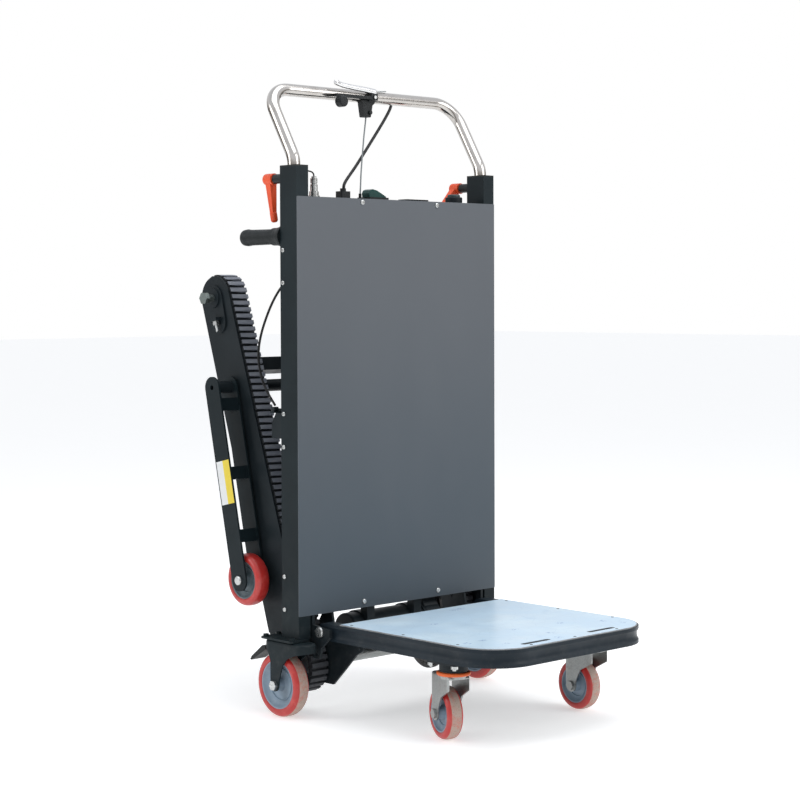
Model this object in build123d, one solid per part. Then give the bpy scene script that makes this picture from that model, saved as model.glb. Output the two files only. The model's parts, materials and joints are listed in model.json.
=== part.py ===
"""Electric stair climbing trolley: frame, folding platform, folding crawler tracks and drive.

Millimetres, +Z up. Drawing datum: x = 0 mid width, y = 0 front face of the uprights,
z = 0 floor, +y towards the crawler tracks. Every part is written with the datum moved to
the middle of the machine's footprint, which is the exported origin.
"""
import os
from math import asin, atan2, cos, degrees, hypot, pi, radians, sin, tan

from build123d import *

# ---- overall ----
FOOTPRINT_MIDDLE_Y = -69.3      # y of the middle of the overall length
RUNNING = 0.05                  # radial clearance of a running fit
SHEET = 1.5                     # sheet steel of covers and panel

# ---- upright frame and panel ----
HALF_WIDTH = 275.0
UPRIGHT_X = 30.0
UPRIGHT_Y = 50.0
UPRIGHT_WALL = 2.0
UPRIGHT_BOTTOM = 157.0
UPRIGHT_TOP = 1083.0
CAP_THICK = 3.0
PANEL_BOTTOM = 202.0
PANEL_TOP = 1022.0
PANEL_SCREW_X = 104.0
MEMBER_DEPTH = 26.0
MEMBER_HEIGHT = 30.0
MEMBER_Z = (204.0, 575.0, 987.0)
SIDE_SCREW_Z = (917.6, 853.7, 597.0, 532.0, 277.0, 212.0)
SIDE_SCREW_Y = 41.5
SCREW_R = 2.0
INNER_FACE = HALF_WIDTH - UPRIGHT_X
UPRIGHT_MID_X = HALF_WIDTH - UPRIGHT_X / 2

# ---- top plate, its fittings and the housing behind the panel ----
TOP_PLATE_THICK = 3.0
FITTING_Y = 33.0
SOCKET_X = -202.0
GLAND_X = -125.0
BARREL_X = -79.0
ROCKER_X = -42.0
ROCKER_Z = PANEL_TOP + 7.0
GAUGE_X = 67.0
BUTTON_X = 188.0
BUTTON_STEM_R = 5.0
HOUSING_X = 190.0
HOUSING_FRONT = 28.0
HOUSING_BACK = 95.0
HOUSING_BOTTOM = 615.0
VENT_ROWS = 6

# ---- handle ----
HANDLE_R = 12.5
HANDLE_WALL = 1.5
LEG_Y = 25.0
LEG_BOTTOM = 690.0
LEAN_START_Z = 1097.0
BAR_Y = 110.0
BAR_Z = 1240.0
CORNER_R = 55.0
LEAN_R = 45.0
PERCH_X = (3.0, 21.0)           # clamp ring of the brake lever
LEVER_Y = (85.0, 96.0)
LEVER_PIVOT = (12.0, 1250.0)    # x, z
LEVER_TIP = (-100.0, 1265.0)
STOP_X = 2.5                    # cable stop in the perch body below the bar
STOP_Y = 104.0
STOP_BOTTOM = 1197.0
KNOB_X = -86.0
KNOB_Z = 1223.0
BRAKE_CABLE_R = 1.6
SWITCH_CABLE_R = 3.2

# ---- handle clamps and rear grips ----
CLAMP_Z = 1058.5
CLAMP_STUD_R = 5.0
CLAMP_BOSS_R = 9.5
CLAMP_HEAD_R = 11.5
CLAMP_HEAD_Y = (84.0, 110.0)
CLAMP_ARM = 83.0
CLAMP_REST = {-1: -11.0, 1: 42.0}     # degrees each lever is turned from straight down, towards -x
GRIP_Z = 945.0
GRIP_END = 182.0

# ---- crawler tracks ----
DRIVE_Y = 58.0
DRIVE_Z = 95.0
IDLER_Y = 298.0
IDLER_Z = 824.0
TRACK_LENGTH = hypot(IDLER_Y - DRIVE_Y, IDLER_Z - DRIVE_Z)
TRACK_TILT = atan2(IDLER_Y - DRIVE_Y, IDLER_Z - DRIVE_Z)
BELT_X0 = 196.0
BELT_X1 = 238.0
BELT_INSIDE = (44.0, 37.0)      # radius at drive pulley, radius at idler
BELT_ROOT = (50.0, 43.0)
LUG_HEIGHT = 5.5
LUG_PITCH = 14.0
PULLEY_R = 43.8
IDLER_R = 36.8
INNER_PLATE = (191.0, 194.0)
OUTER_PLATE = (240.5, 243.5)
INNER_HALF = (40.0, 37.0)       # half width of the inner plate at drive shaft and at idler
OUTER_HALF = (50.5, 45.0)
SHAFT_R = 12.5
CROSS_BEAM_A = 620.0            # distance up the track from the drive shaft
OUTER_PLATE_END = 152.0

# ---- support arms ----
ARM_PIVOT_A = 577.0
ARM_LENGTH = 392.0
ARM_TILT = radians(12.4)
ARM_HALF = 22.0
ARM_OUTER = (296.0, 300.0)
ARM_INNER = (250.0, 254.0)
ARM_WHEEL_R = 52.5
ARM_WHEEL_W = 32.0
ARM_WHEEL_X = 275.0
ARM_RIM = 38.0
ARM_BRACKETS = (38.0, 178.0, 305.0)     # distances down the arm from its pivot

# ---- rear casters ----
REAR_R = 64.0
REAR_W = 34.0
REAR_RIM = 47.5
REAR_X = 273.0
REAR_Y = 50.0
AXLE_R = 6.0
FORK_X = (250.0, 296.0)
FORK_Y = (-36.0, 88.0)
FORK_TOP = 152.0
FORK_SHEET = 3.0
PEDAL_PIVOT = (80.0, 133.0)     # y, z

# ---- front casters ----
FRONT_R = 50.0
FRONT_W = 32.0
FRONT_RIM = 36.0
RING_Z = (127.0, 134.0)         # swivel bearing between fork and mounting plate
FORK_HALF = 23.0
SWIVEL_X = 193.0
SWIVEL_Y = -345.0
TRAIL = 34.0
SWIVEL_REST = {-1: 20.0, 1: 5.0}     # degrees each fork has turned from straight ahead

# ---- platform ----
PIVOT_Y = -22.0
PIVOT_Z = 171.0
RAIL_X1 = 230.0
RAIL_W = 25.0
RAIL_BOTTOM = 154.5
RAIL_TOP = 187.5
GROOVE_DEPTH = 3.5
GROOVE_HALF = 10.5
DECK_THICK = 2.0
PLATFORM_FRONT = -485.0
PLATFORM_CORNER = 92.0
DECK_REAR = -66.0
SLOT_X = 92.0
SLOT_Y = -458.0
SLOT_LENGTH = 76.0
SLOT_R = 5.5
DECK_RIVETS = [(x, y) for x in (-217.0, 217.0) for y in (-90.0, -235.0, -380.0)]
DECK_RIVETS += [(x, -473.0) for x in (-120.0, 0.0, 120.0)]

# ---- drive ----
MOTOR_Y = 40.0
MOTOR_Z = 152.0
MOTOR_R = 35.0
OUTPUT_Z = 180.0
CHAIN_X = (128.0, 134.0)
BIG_SPROCKET_R = 46.0
SMALL_SPROCKET_R = 15.0
CHAIN_THICK = 8.0
GEARBOX_X = (75.0, 124.0)
BEARING_R = 22.0

# ---- gas struts ----
STRUT_X = 168.0
STRUT_TOP = (75.0, 565.0)
STRUT_LOW = (105.0, 237.5)


# ---------------------------------------------------------------- helpers
def block(x0, x1, y0, y1, z0, z1):
    middle = Pos((x0 + x1) / 2, (y0 + y1) / 2, (z0 + z1) / 2)
    return middle * Box(x1 - x0, y1 - y0, z1 - z0)


def rod_x(x0, x1, y, z, r):
    return Pos((x0 + x1) / 2, y, z) * Rot(0, 90, 0) * Cylinder(r, x1 - x0)


def rod_y(y0, y1, x, z, r):
    return Pos(x, (y0 + y1) / 2, z) * Rot(90, 0, 0) * Cylinder(r, y1 - y0)


def rod_z(z0, z1, x, y, r):
    return Pos(x, y, (z0 + z1) / 2) * Cylinder(r, z1 - z0)


def hex_x(x0, x1, y, z, across_corners):
    face = Plane.YZ.offset(x0) * Pos(y, z) * RegularPolygon(across_corners, 6)
    return extrude(face, x1 - x0)


def sheet_x(x0, x1, points):
    """Flat plate across x whose outline is given as (y, z) points."""
    face = Plane.YZ.offset(x0) * make_face(Polyline(*points, close=True))
    return extrude(face, x1 - x0)


def bar_x(x0, x1, start, end, half):
    """Flat bar across x with round ends centred on two (y, z) points."""
    run = hypot(end[0] - start[0], end[1] - start[1])
    angle = degrees(atan2(end[1] - start[1], end[0] - start[0]))
    outline = Pos(*start) * Rot(0, 0, angle) * Pos(run / 2, 0) * SlotCenterToCenter(run, 2 * half)
    return extrude(Plane.YZ.offset(x0) * outline, x1 - x0)


def left(part):
    """Mirror of a part drawn on the +x side."""
    return mirror(part, about=Plane.YZ)


def group(*parts):
    """Separate solids that share one node."""
    return Compound([solid for part in parts for solid in part.solids()])


def pair(part):
    return group(part, left(part))


def on_track(a, b):
    """(y, z) of a point a up the track from the drive shaft and b towards its rear face."""
    y = DRIVE_Y + a * sin(TRACK_TILT) + b * cos(TRACK_TILT)
    z = DRIVE_Z + a * cos(TRACK_TILT) - b * sin(TRACK_TILT)
    return (y, z)


def track_block(x0, x1, a0, a1, b0, b1):
    """Rectangular bar square to the track."""
    return sheet_x(x0, x1, [on_track(a0, b0), on_track(a0, b1), on_track(a1, b1), on_track(a1, b0)])


# ---------------------------------------------------------------- belt path
def belt_path(radii, s):
    """Point and outward normal, in track directions, at distance s round the belt."""
    low, high = radii
    lean = asin((low - high) / TRACK_LENGTH)
    straight = TRACK_LENGTH * cos(lean)
    top_arc = high * (pi - 2 * lean)
    low_arc = low * (pi + 2 * lean)
    if s < straight:
        normal = pi / 2 - lean
        a = low * cos(normal) + s * cos(lean)
        b = low * sin(normal) - s * sin(lean)
        return a, b, normal
    s -= straight
    if s < top_arc:
        normal = pi / 2 - lean - s / high
        return TRACK_LENGTH + high * cos(normal), high * sin(normal), normal
    s -= top_arc
    if s < straight:
        normal = -pi / 2 + lean
        a = TRACK_LENGTH + high * cos(normal) - s * cos(lean)
        b = high * sin(normal) - s * sin(lean)
        return a, b, normal
    s = min(s - straight, low_arc)
    normal = -pi / 2 + lean - s / low
    return low * cos(normal), low * sin(normal), normal


def belt_length(radii):
    low, high = radii
    lean = asin((low - high) / TRACK_LENGTH)
    return 2 * TRACK_LENGTH * cos(lean) + high * (pi - 2 * lean) + low * (pi + 2 * lean)


def loop_face(radii):
    """Smooth outline round both belt pulleys."""
    low, high = radii
    return make_hull((Circle(low) + Pos(TRACK_LENGTH, 0) * Circle(high)).edges())


def place_on_track(part):
    """Move a part drawn with +x up the track and +y to its rear into the machine."""
    plane = Plane(
        origin=(0, DRIVE_Y, DRIVE_Z),
        x_dir=(0, sin(TRACK_TILT), cos(TRACK_TILT)),
        z_dir=(-1, 0, 0),
    )
    return plane * part


def track_sheet(face, x0, x1):
    """Extrude an outline drawn in track directions from x0 to x1 on the +x side."""
    return place_on_track(Pos(0, 0, -x1) * extrude(face, x1 - x0))


def belt():
    """Rubber belt with trapezoid lugs all round its outside."""
    total = belt_length(BELT_ROOT)
    count = round(total / LUG_PITCH)
    pitch = total / count
    corners = ((0.10, 0.0), (0.22, LUG_HEIGHT), (0.78, LUG_HEIGHT), (0.90, 0.0))
    points = []
    for lug in range(count):
        for along, height in corners:
            a, b, normal = belt_path(BELT_ROOT, (lug + along) * pitch)
            points.append((a + height * cos(normal), b + height * sin(normal)))
    outline = make_face(Polyline(*points, close=True))
    return track_sheet(outline - loop_face(BELT_INSIDE), BELT_X0, BELT_X1)


# ---------------------------------------------------------------- upright frame
def uprights():
    x0 = INNER_FACE
    tube = block(x0, HALF_WIDTH, 0, UPRIGHT_Y, UPRIGHT_BOTTOM, UPRIGHT_TOP - CAP_THICK)
    tube -= block(x0 + UPRIGHT_WALL, HALF_WIDTH - UPRIGHT_WALL, UPRIGHT_WALL, UPRIGHT_Y - UPRIGHT_WALL,
                  UPRIGHT_BOTTOM, UPRIGHT_TOP)
    tube -= rod_y(UPRIGHT_Y - 5, UPRIGHT_Y + 5, UPRIGHT_MID_X, CLAMP_Z, CLAMP_STUD_R + RUNNING)
    for z in SIDE_SCREW_Z:
        tube -= rod_x(HALF_WIDTH - 5, HALF_WIDTH + 5, SIDE_SCREW_Y, z, SCREW_R)
    return pair(tube)


def upright_caps():
    z0 = UPRIGHT_TOP - CAP_THICK
    cap = block(INNER_FACE, HALF_WIDTH, 0, UPRIGHT_Y, z0, UPRIGHT_TOP)
    cap -= rod_z(z0 - 1, UPRIGHT_TOP + 1, UPRIGHT_MID_X, LEG_Y, HANDLE_R + RUNNING)
    return pair(cap)


def cross_members():
    """Three box tubes welded between the uprights, behind the panel."""
    tubes = []
    for z in MEMBER_Z:
        tube = block(-INNER_FACE, INNER_FACE, 0, MEMBER_DEPTH, z, z + MEMBER_HEIGHT)
        tube -= block(-INNER_FACE, INNER_FACE, 2, MEMBER_DEPTH - 2, z + 2, z + MEMBER_HEIGHT - 2)
        for x in (-PANEL_SCREW_X, PANEL_SCREW_X):
            tube -= rod_y(-1, 4, x, PANEL_BOTTOM + 12.5, SCREW_R)
            tube -= rod_y(-1, 4, x, PANEL_TOP - 7.5, SCREW_R)
        tubes.append(tube)
    return group(*tubes)


def front_panel():
    panel = block(-HALF_WIDTH, HALF_WIDTH, -SHEET, 0, PANEL_BOTTOM, PANEL_TOP)
    panel = fillet(panel.edges().filter_by(Axis.Y), 2.0)
    for x in (-PANEL_SCREW_X, PANEL_SCREW_X):
        for z in (PANEL_BOTTOM + 12.5, PANEL_TOP - 7.5):
            panel -= rod_y(-5, 5, x, z, SCREW_R)
    return panel


def pan_head(shank, head_r, head_h):
    """Screw along +z: shank below the origin, rounded head above it."""
    head = Cylinder(head_r, head_h, align=(Align.CENTER, Align.CENTER, Align.MIN))
    head = fillet(head.edges().group_by(Axis.Z)[-1], head_h * 0.6)
    head -= Pos(0, 0, head_h) * Box(head_r, 1.0, 1.6)
    head -= Pos(0, 0, head_h) * Box(1.0, head_r, 1.6)
    stem = Cylinder(SCREW_R, shank, align=(Align.CENTER, Align.CENTER, Align.MAX))
    return head + stem


def panel_screws():
    screws = []
    for x in (-PANEL_SCREW_X, PANEL_SCREW_X):
        for z in (PANEL_BOTTOM + 12.5, PANEL_TOP - 7.5):
            screws.append(Pos(x, -SHEET, z) * Rot(90, 0, 0) * pan_head(3.5, 5.0, 2.6))
    return group(*screws)


def side_screws():
    screws = []
    for z in SIDE_SCREW_Z:
        screw = Pos(HALF_WIDTH, SIDE_SCREW_Y, z) * Rot(0, 90, 0) * pan_head(2.0, 4.5, 2.4)
        screws.append(screw)
        screws.append(left(screw))
    return group(*screws)


# ---------------------------------------------------------------- top plate and its fittings


def top_plate():
    z0 = PANEL_TOP - TOP_PLATE_THICK
    plate = block(-INNER_FACE, INNER_FACE, 0, UPRIGHT_Y - 2, z0, PANEL_TOP)
    plate += block(-HOUSING_X, HOUSING_X, 0, HOUSING_BACK, z0, PANEL_TOP)
    for x, r in ((SOCKET_X, 5.0), (GLAND_X, 6.0), (BARREL_X, 3.0), (BUTTON_X, BUTTON_STEM_R + RUNNING)):
        plate -= rod_z(z0 - 1, PANEL_TOP + 1, x, FITTING_Y, r)
    return plate


def charge_socket():
    """Round screw connector: base flange, knurled nut, body and the plug of its lead."""
    z = PANEL_TOP
    shell = rod_z(z, z + 4, SOCKET_X, FITTING_Y, 11.5)
    shell += rod_z(z - 12, z + 42, SOCKET_X, FITTING_Y, 5.0)
    shell += rod_z(z + 4, z + 12, SOCKET_X, FITTING_Y, 9.5)
    shell += rod_z(z + 12, z + 26, SOCKET_X, FITTING_Y, 7.5)
    shell += rod_z(z + 28, z + 38, SOCKET_X, FITTING_Y, 7.0)
    return shell


def cable_gland():
    """Square connector housing with the switch cable coming out of its top."""
    x, y, z = GLAND_X, FITTING_Y, PANEL_TOP
    shell = block(x - 12, x + 12, y - 10, y + 10, z, z + 15)
    shell = fillet(shell.edges().filter_by(Axis.Z), 2.5)
    shell += rod_z(z - 10, z + 21, x, y, 6.0)
    return shell - rod_z(z - 11, z + 22, x, y, SWITCH_CABLE_R)


def cable_barrel():
    """Threaded barrel adjuster where the brake cable enters the top plate."""
    barrel = rod_z(PANEL_TOP - 8, PANEL_TOP + 12, BARREL_X, FITTING_Y, 3.0)
    barrel += extrude(Pos(BARREL_X, FITTING_Y, PANEL_TOP) * RegularPolygon(6.0, 6), 4)
    return barrel - rod_z(PANEL_TOP - 9, PANEL_TOP + 13, BARREL_X, FITTING_Y, BRAKE_CABLE_R)


def switch_bezel():
    x, z = ROCKER_X, PANEL_TOP
    bezel = block(x - 28, x + 28, FITTING_Y - 18, FITTING_Y + 14, z, z + 5)
    bezel = fillet(bezel.edges().filter_by(Axis.Z), 5.0)
    return bezel - block(x - 25.5, x + 25.5, FITTING_Y - 14, FITTING_Y + 10, z + 1.5, z + 6)


def direction_rocker():
    """Up and down rocker switch under a rubber hood, tilting about a pin along y."""
    outline = make_face(
        Polyline((-23, -2.0), (-24, 6.0), (-21, 12.0), (-14, 14.5), (-2, 12.0), (12, 5.5), (23, 0.0), (22, -2.0),
                 (0, -4.5), close=True)
    )
    key = extrude(Plane.XZ.offset(-(FITTING_Y + 9)) * Pos(ROCKER_X, ROCKER_Z) * outline, 22)
    return fillet(key.edges().filter_by(Axis.X, reverse=True).group_by(Axis.Z)[-1], 1.5)


def battery_gauge():
    gauge = block(GAUGE_X - 32, GAUGE_X + 32, 16, 44, PANEL_TOP, PANEL_TOP + 4)
    return fillet(gauge.edges().filter_by(Axis.Z), 4.0)


def power_button():
    z = PANEL_TOP
    cap = rod_z(z + 8, z + 19, BUTTON_X, FITTING_Y, 13.5)
    cap = fillet(cap.edges().group_by(Axis.Z)[-1], 3.5)
    return cap + rod_z(z - 8, z + 8, BUTTON_X, FITTING_Y, BUTTON_STEM_R)


def button_collar():
    """Threaded collar round the power button."""
    z = PANEL_TOP
    collar = rod_z(z, z + 13, BUTTON_X, FITTING_Y, 18.0)
    collar = fillet(collar.edges().group_by(Axis.Z)[-1], 2.0)
    collar -= rod_z(z + 4.5, z + 14, BUTTON_X, FITTING_Y, 14.0)
    return collar - rod_z(z - 1, z + 5, BUTTON_X, FITTING_Y, BUTTON_STEM_R + RUNNING)


# ---------------------------------------------------------------- electrics behind the panel


def rear_housing():
    z1 = PANEL_TOP - TOP_PLATE_THICK
    box = block(-HOUSING_X, HOUSING_X, HOUSING_FRONT, HOUSING_BACK, HOUSING_BOTTOM, z1)
    box = fillet(box.edges().filter_by(Axis.Z).group_by(Axis.Y)[-1], 6.0)
    inside = block(-HOUSING_X + SHEET, HOUSING_X - SHEET, HOUSING_FRONT - 1, HOUSING_BACK - SHEET,
                   HOUSING_BOTTOM + SHEET, z1 + 1)
    box -= inside
    box -= rod_z(z1 - 10, z1 + 1, BUTTON_X, FITTING_Y, BUTTON_STEM_R + 2)
    for row in range(VENT_ROWS):
        z = HOUSING_BOTTOM + 40 + row * 12
        for x in (-110.0, 110.0):
            box -= block(x - 35, x + 35, HOUSING_BACK - 5, HOUSING_BACK + 5, z, z + 4)
    return box


def battery_pack():
    pack = block(-165, 165, 30, 88, 720, 970)
    return fillet(pack.edges(), 3.0)


def motor_controller():
    body = block(-90, 90, 32, 74, 630, 700)
    for fin in range(11):
        x = -80 + fin * 16
        body -= block(x - 4, x + 4, 64, 75, 629, 701)
    return body


# ---------------------------------------------------------------- handle
def handle_wire(half, drop):
    """Centre line of the handle: two legs that lean back, and the bar across the top."""
    points = [
        (-half, LEG_Y, drop),
        (-half, LEG_Y, LEAN_START_Z),
        (-half, BAR_Y, BAR_Z),
        (half, BAR_Y, BAR_Z),
        (half, LEG_Y, LEAN_START_Z),
        (half, LEG_Y, drop),
    ]
    radii = (LEAN_R, CORNER_R, CORNER_R, LEAN_R)
    edges = []
    here = Vector(*points[0])
    for index, radius in enumerate(radii, start=1):
        corner = Vector(*points[index])
        back = (Vector(*points[index - 1]) - corner).normalized()
        ahead = (Vector(*points[index + 1]) - corner).normalized()
        half_angle = radians(back.get_angle(ahead)) / 2
        cut = radius / tan(half_angle)
        centre = corner + (back + ahead).normalized() * (radius / sin(half_angle))
        start = corner + back * cut
        end = corner + ahead * cut
        middle = centre + (corner - centre).normalized() * radius
        edges.append(Line(here, start))
        edges.append(ThreePointArc(start, middle, end))
        here = end
    edges.append(Line(here, Vector(*points[-1])))
    return Wire([edge.edge() for edge in edges])


def handle_tube():
    path = handle_wire(UPRIGHT_MID_X, LEG_BOTTOM)
    start = Plane(origin=(-UPRIGHT_MID_X, LEG_Y, LEG_BOTTOM), z_dir=(0, 0, 1))
    outer = sweep(start * Circle(HANDLE_R), path)
    inner = sweep(start * Circle(HANDLE_R - HANDLE_WALL), path)
    return outer - inner


def lever_perch():
    """Clamp ring round the bar, the arm in front of it, and the body below that stops the cable."""
    x0, x1 = PERCH_X
    ring = rod_x(x0, x1, BAR_Y, BAR_Z, 18.0)
    ring += block(x0, x1, LEVER_Y[0] + 2, LEVER_Y[1], BAR_Z - 8, BAR_Z + 6)
    arm = block(KNOB_X - 7, x0 + 2, LEVER_Y[0] + 2, LEVER_Y[1], BAR_Z - 7, BAR_Z)
    arm = fillet(arm.edges().filter_by(Axis.Y), 2.0)
    outline = Polyline((-14, 1232), (16, 1232), (13, 1216), (9, STOP_BOTTOM), (-8, STOP_BOTTOM), close=True)
    body = extrude(Plane.XZ.offset(-(STOP_Y + 8)) * make_face(outline), 16)
    body = fillet(body.edges().group_by(Axis.Z)[0], 1.5)
    perch = ring + arm + body
    perch -= rod_x(-60, 60, BAR_Y, BAR_Z, HANDLE_R)
    perch -= block(-60, 60, LEVER_Y[0] - 5, LEVER_Y[1] + 1, LEVER_PIVOT[1] - 4.5, LEVER_PIVOT[1] + 20)
    return perch - rod_z(STOP_BOTTOM - 1, STOP_BOTTOM + 10, STOP_X, STOP_Y, BRAKE_CABLE_R)


def perch_screws():
    low = rod_y(STOP_Y - 12, STOP_Y - 8, STOP_X + 4, STOP_BOTTOM + 10, 4.5)
    low = fillet(low.edges().group_by(Axis.Y)[0], 1.5)
    side = rod_y(LEVER_Y[0] - 1, LEVER_Y[0] + 2, (PERCH_X[0] + PERCH_X[1]) / 2, BAR_Z - 2, 3.5)
    return group(low, side)


def brake_lever():
    """Cast lever blade with an upturned ball end, in front of the top of the bar."""
    x, z = LEVER_TIP
    points = [(28, 1247.5), (26, 1254), (15, 1260), (-12, 1261), (-43, 1261), (-62, 1264), (x + 10, 1265),
              (x, z + 2), (x, z - 6), (x + 8, 1254), (x + 22, 1248.5), (-43, 1246.5), (-12, 1247.5)]
    blade = extrude(Plane.XZ.offset(-LEVER_Y[1]) * make_face(Polyline(*points, close=True)),
                    LEVER_Y[1] - LEVER_Y[0])
    blade = fillet(blade.edges().filter_by(Axis.Y), 1.2)
    return blade + Pos(x, (LEVER_Y[0] + LEVER_Y[1]) / 2, z + 1) * Sphere(6.0)


def lock_knob():
    knob = rod_y(71, LEVER_Y[0] + 2, KNOB_X, KNOB_Z, 11.5)
    knob = fillet(knob.edges().group_by(Axis.Y)[0], 3.0)
    for spoke in range(8):
        angle = 2 * pi * spoke / 8
        knob -= rod_y(70, 84, KNOB_X + 12.5 * cos(angle), KNOB_Z + 12.5 * sin(angle), 2.0)
    return knob


# ---------------------------------------------------------------- handle clamps and rear grips
def clamp_bosses():
    boss = rod_y(UPRIGHT_Y, CLAMP_HEAD_Y[0] - 1, UPRIGHT_MID_X, CLAMP_Z, CLAMP_BOSS_R)
    boss = fillet(boss.edges().group_by(Axis.Y)[-1], 2.0)
    return pair(boss - rod_y(UPRIGHT_Y - 1, CLAMP_HEAD_Y[0], UPRIGHT_MID_X, CLAMP_Z, CLAMP_STUD_R + RUNNING))


def clamp_lever(side):
    """Tapered lever arm hanging from a round head, drawn straight down and turned to its rest angle."""
    y0, y1 = CLAMP_HEAD_Y
    middle = (y0 + y1) / 2
    head = rod_y(y0, y1, 0, 0, CLAMP_HEAD_R)
    head = fillet(head.edges().group_by(Axis.Y)[-1], 3.0)
    arm = loft([
        Pos(0, middle, -6) * Rectangle(17, 15),
        Pos(0, middle + 7, -CLAMP_ARM + 16) * Rectangle(10, 9),
    ])
    tip = rod_z(-CLAMP_ARM - 2.8, -CLAMP_ARM + 18, 0, middle + 7, 7.2)
    tip = fillet(tip.edges().group_by(Axis.Z)[0], 5.5)
    tip = fillet(tip.edges().group_by(Axis.Z)[-1], 1.5)
    lever = head + arm + tip
    stud = rod_y(LEG_Y + HANDLE_R + 0.6, y0 - 0.01, 0, 0, CLAMP_STUD_R)
    return Pos(side * UPRIGHT_MID_X, 0, CLAMP_Z) * Rot(0, CLAMP_REST[side], 0) * group(lever, stud)


def grip_stubs():
    stub = rod_y(UPRIGHT_Y, GRIP_END - 6, UPRIGHT_MID_X, GRIP_Z, 11.0)
    return pair(stub - rod_y(UPRIGHT_Y - 1, GRIP_END, UPRIGHT_MID_X, GRIP_Z, 9.0))


def rear_grips():
    """Rubber grip: flared base, collar, smooth body and a rounded, slightly fatter end."""
    y0 = UPRIGHT_Y + 1
    bore = 11.0
    outline = Polyline((y0, bore), (y0, 22), (y0 + 6, 21.5), (y0 + 16, 18.5), (y0 + 25, 17.5), (y0 + 34, 17.5),
                       (y0 + 36, 15.2), (GRIP_END - 26, 15.8), (GRIP_END - 16, 17), (GRIP_END - 7, 16),
                       (GRIP_END - 2, 12), (GRIP_END, 6), (GRIP_END, 0), (GRIP_END - 5.9, 0),
                       (GRIP_END - 5.9, bore), close=True)
    grip = revolve(make_face(outline), Axis.X)
    return pair(Pos(UPRIGHT_MID_X, 0, GRIP_Z) * Rot(0, 0, 90) * grip)


# ---------------------------------------------------------------- cables


def cable(points, r, first, last):
    path = Spline(*points, tangents=(first, last))
    section = Plane(origin=points[0], z_dir=first) * Circle(r)
    return sweep(section, path)


def brake_cable():
    start = (STOP_X, STOP_Y, STOP_BOTTOM - 0.3)
    points = [start, (-22, 84, 1150), (-62, 48, 1085), (BARREL_X, FITTING_Y, PANEL_TOP + 12.2)]
    return cable(points, BRAKE_CABLE_R - 0.1, (0, 0, -1), (0, 0, -1))


def switch_cable():
    start = (76, BAR_Y - 4, BAR_Z - HANDLE_R - 4)
    points = [start, (34, 96, 1178), (-58, 62, 1098), (GLAND_X, FITTING_Y, PANEL_TOP + 21.2)]
    return cable(points, SWITCH_CABLE_R - 0.1, (-0.3, -0.1, -1), (-0.3, 0, -1))


def socket_lead():
    """Short lead from the connector's plug to the grommet in the left upright."""
    points = [(SOCKET_X, FITTING_Y, PANEL_TOP + 42.3), (SOCKET_X - 14, FITTING_Y, PANEL_TOP + 52),
              (-INNER_FACE + 0.6, FITTING_Y, PANEL_TOP + 57)]
    return cable(points, 1.5, (0, 0, 1), (-1, 0, 0.2))


def side_cable():
    """Arm release cable that leaves the left upright and bows back to its stop bracket."""
    x = -(HALF_WIDTH - 13)
    points = [(x, UPRIGHT_Y + 3, 853), (x, 110, 785), (x, 135, 705), (x, 110, 640), (x, 84, 612)]
    return cable(points, 2.4, (0, 1, -0.75), (0, -0.7, -0.75))


def cable_bracket():
    """Bent plate on the left upright with the cable's stop."""
    plate = sheet_x(-249, -245.5, [(UPRIGHT_Y, 545), (110, 545), (110, 575), (92, 605), (UPRIGHT_Y, 605)])
    plate += block(-270, -249, 78, 90, 597, 600)
    stop = hex_x(-268, -256, 84, 604.5, 5.0)
    return group(plate + stop)


# ---------------------------------------------------------------- rear casters


def rear_caster_mount():
    """Mounting plate bolted under the upright, with its four bolts and the bearing below it."""
    z0 = UPRIGHT_BOTTOM - 4
    plate = block(249, 299, -6, 90, z0, UPRIGHT_BOTTOM)
    plate = fillet(plate.edges().filter_by(Axis.Z), 6.0)
    for x, y in ((290, 2), (290, 82), (258, 82)):
        plate += extrude(Pos(x, y, UPRIGHT_BOTTOM) * RegularPolygon(6.0, 6), 4.5)
    return plate + rod_z(FORK_TOP, z0, REAR_X, REAR_Y, 22.0)


def fork_cheek_outline():
    """Side view of the pressed fork: a hood that dips to a leg down to the axle."""
    y, z = REAR_Y, REAR_R
    return [(y - 12, z), (y - 13, z + 8), (y - 18, z + 26), (y - 26, z + 44), (y - 39, z + 57), (y - 59, z + 65),
            (y - 90, z + 71), (y - 90, 200), (y + 45, 200), (y + 45, z + 80), (y + 28, z + 71), (y + 18, z + 62),
            (y + 12, z + 46), (y + 12, z)]


def rear_forks():
    """Pressed fork: a rounded hood over the wheel with a leg down each side to the axle."""
    x0, x1 = FORK_X
    y0, y1 = FORK_Y
    hood = block(x0, x1, y0, y1, 40, FORK_TOP)
    hood = fillet(hood.edges().filter_by(Axis.Z), 21.0)
    hood = fillet(hood.edges().group_by(Axis.Z)[-1], 6.0)
    inside = block(x0 + FORK_SHEET, x1 - FORK_SHEET, y0 + FORK_SHEET, y1 - FORK_SHEET, 30, FORK_TOP - FORK_SHEET)
    inside = fillet(inside.edges().filter_by(Axis.Z), 21.0 - FORK_SHEET)
    fork = (hood - inside) & sheet_x(x0 - 1, x1 + 1, fork_cheek_outline())
    for cheek_x in (x0, x1 - FORK_SHEET):
        fork += rod_x(cheek_x, cheek_x + FORK_SHEET, REAR_Y, REAR_R, 12.0)
    fork -= rod_x(x0 - 1, x1 + 1, REAR_Y, REAR_R, AXLE_R)
    return pair(fork + rear_caster_mount())


def rear_axles():
    axle = rod_x(FORK_X[0] - 1, FORK_X[1] + 1, REAR_Y, REAR_R, AXLE_R)
    axle += hex_x(FORK_X[1], FORK_X[1] + 6, REAR_Y, REAR_R, 10.0)
    axle += hex_x(FORK_X[0] - 5, FORK_X[0], REAR_Y, REAR_R, 10.0)
    return pair(axle)


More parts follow.
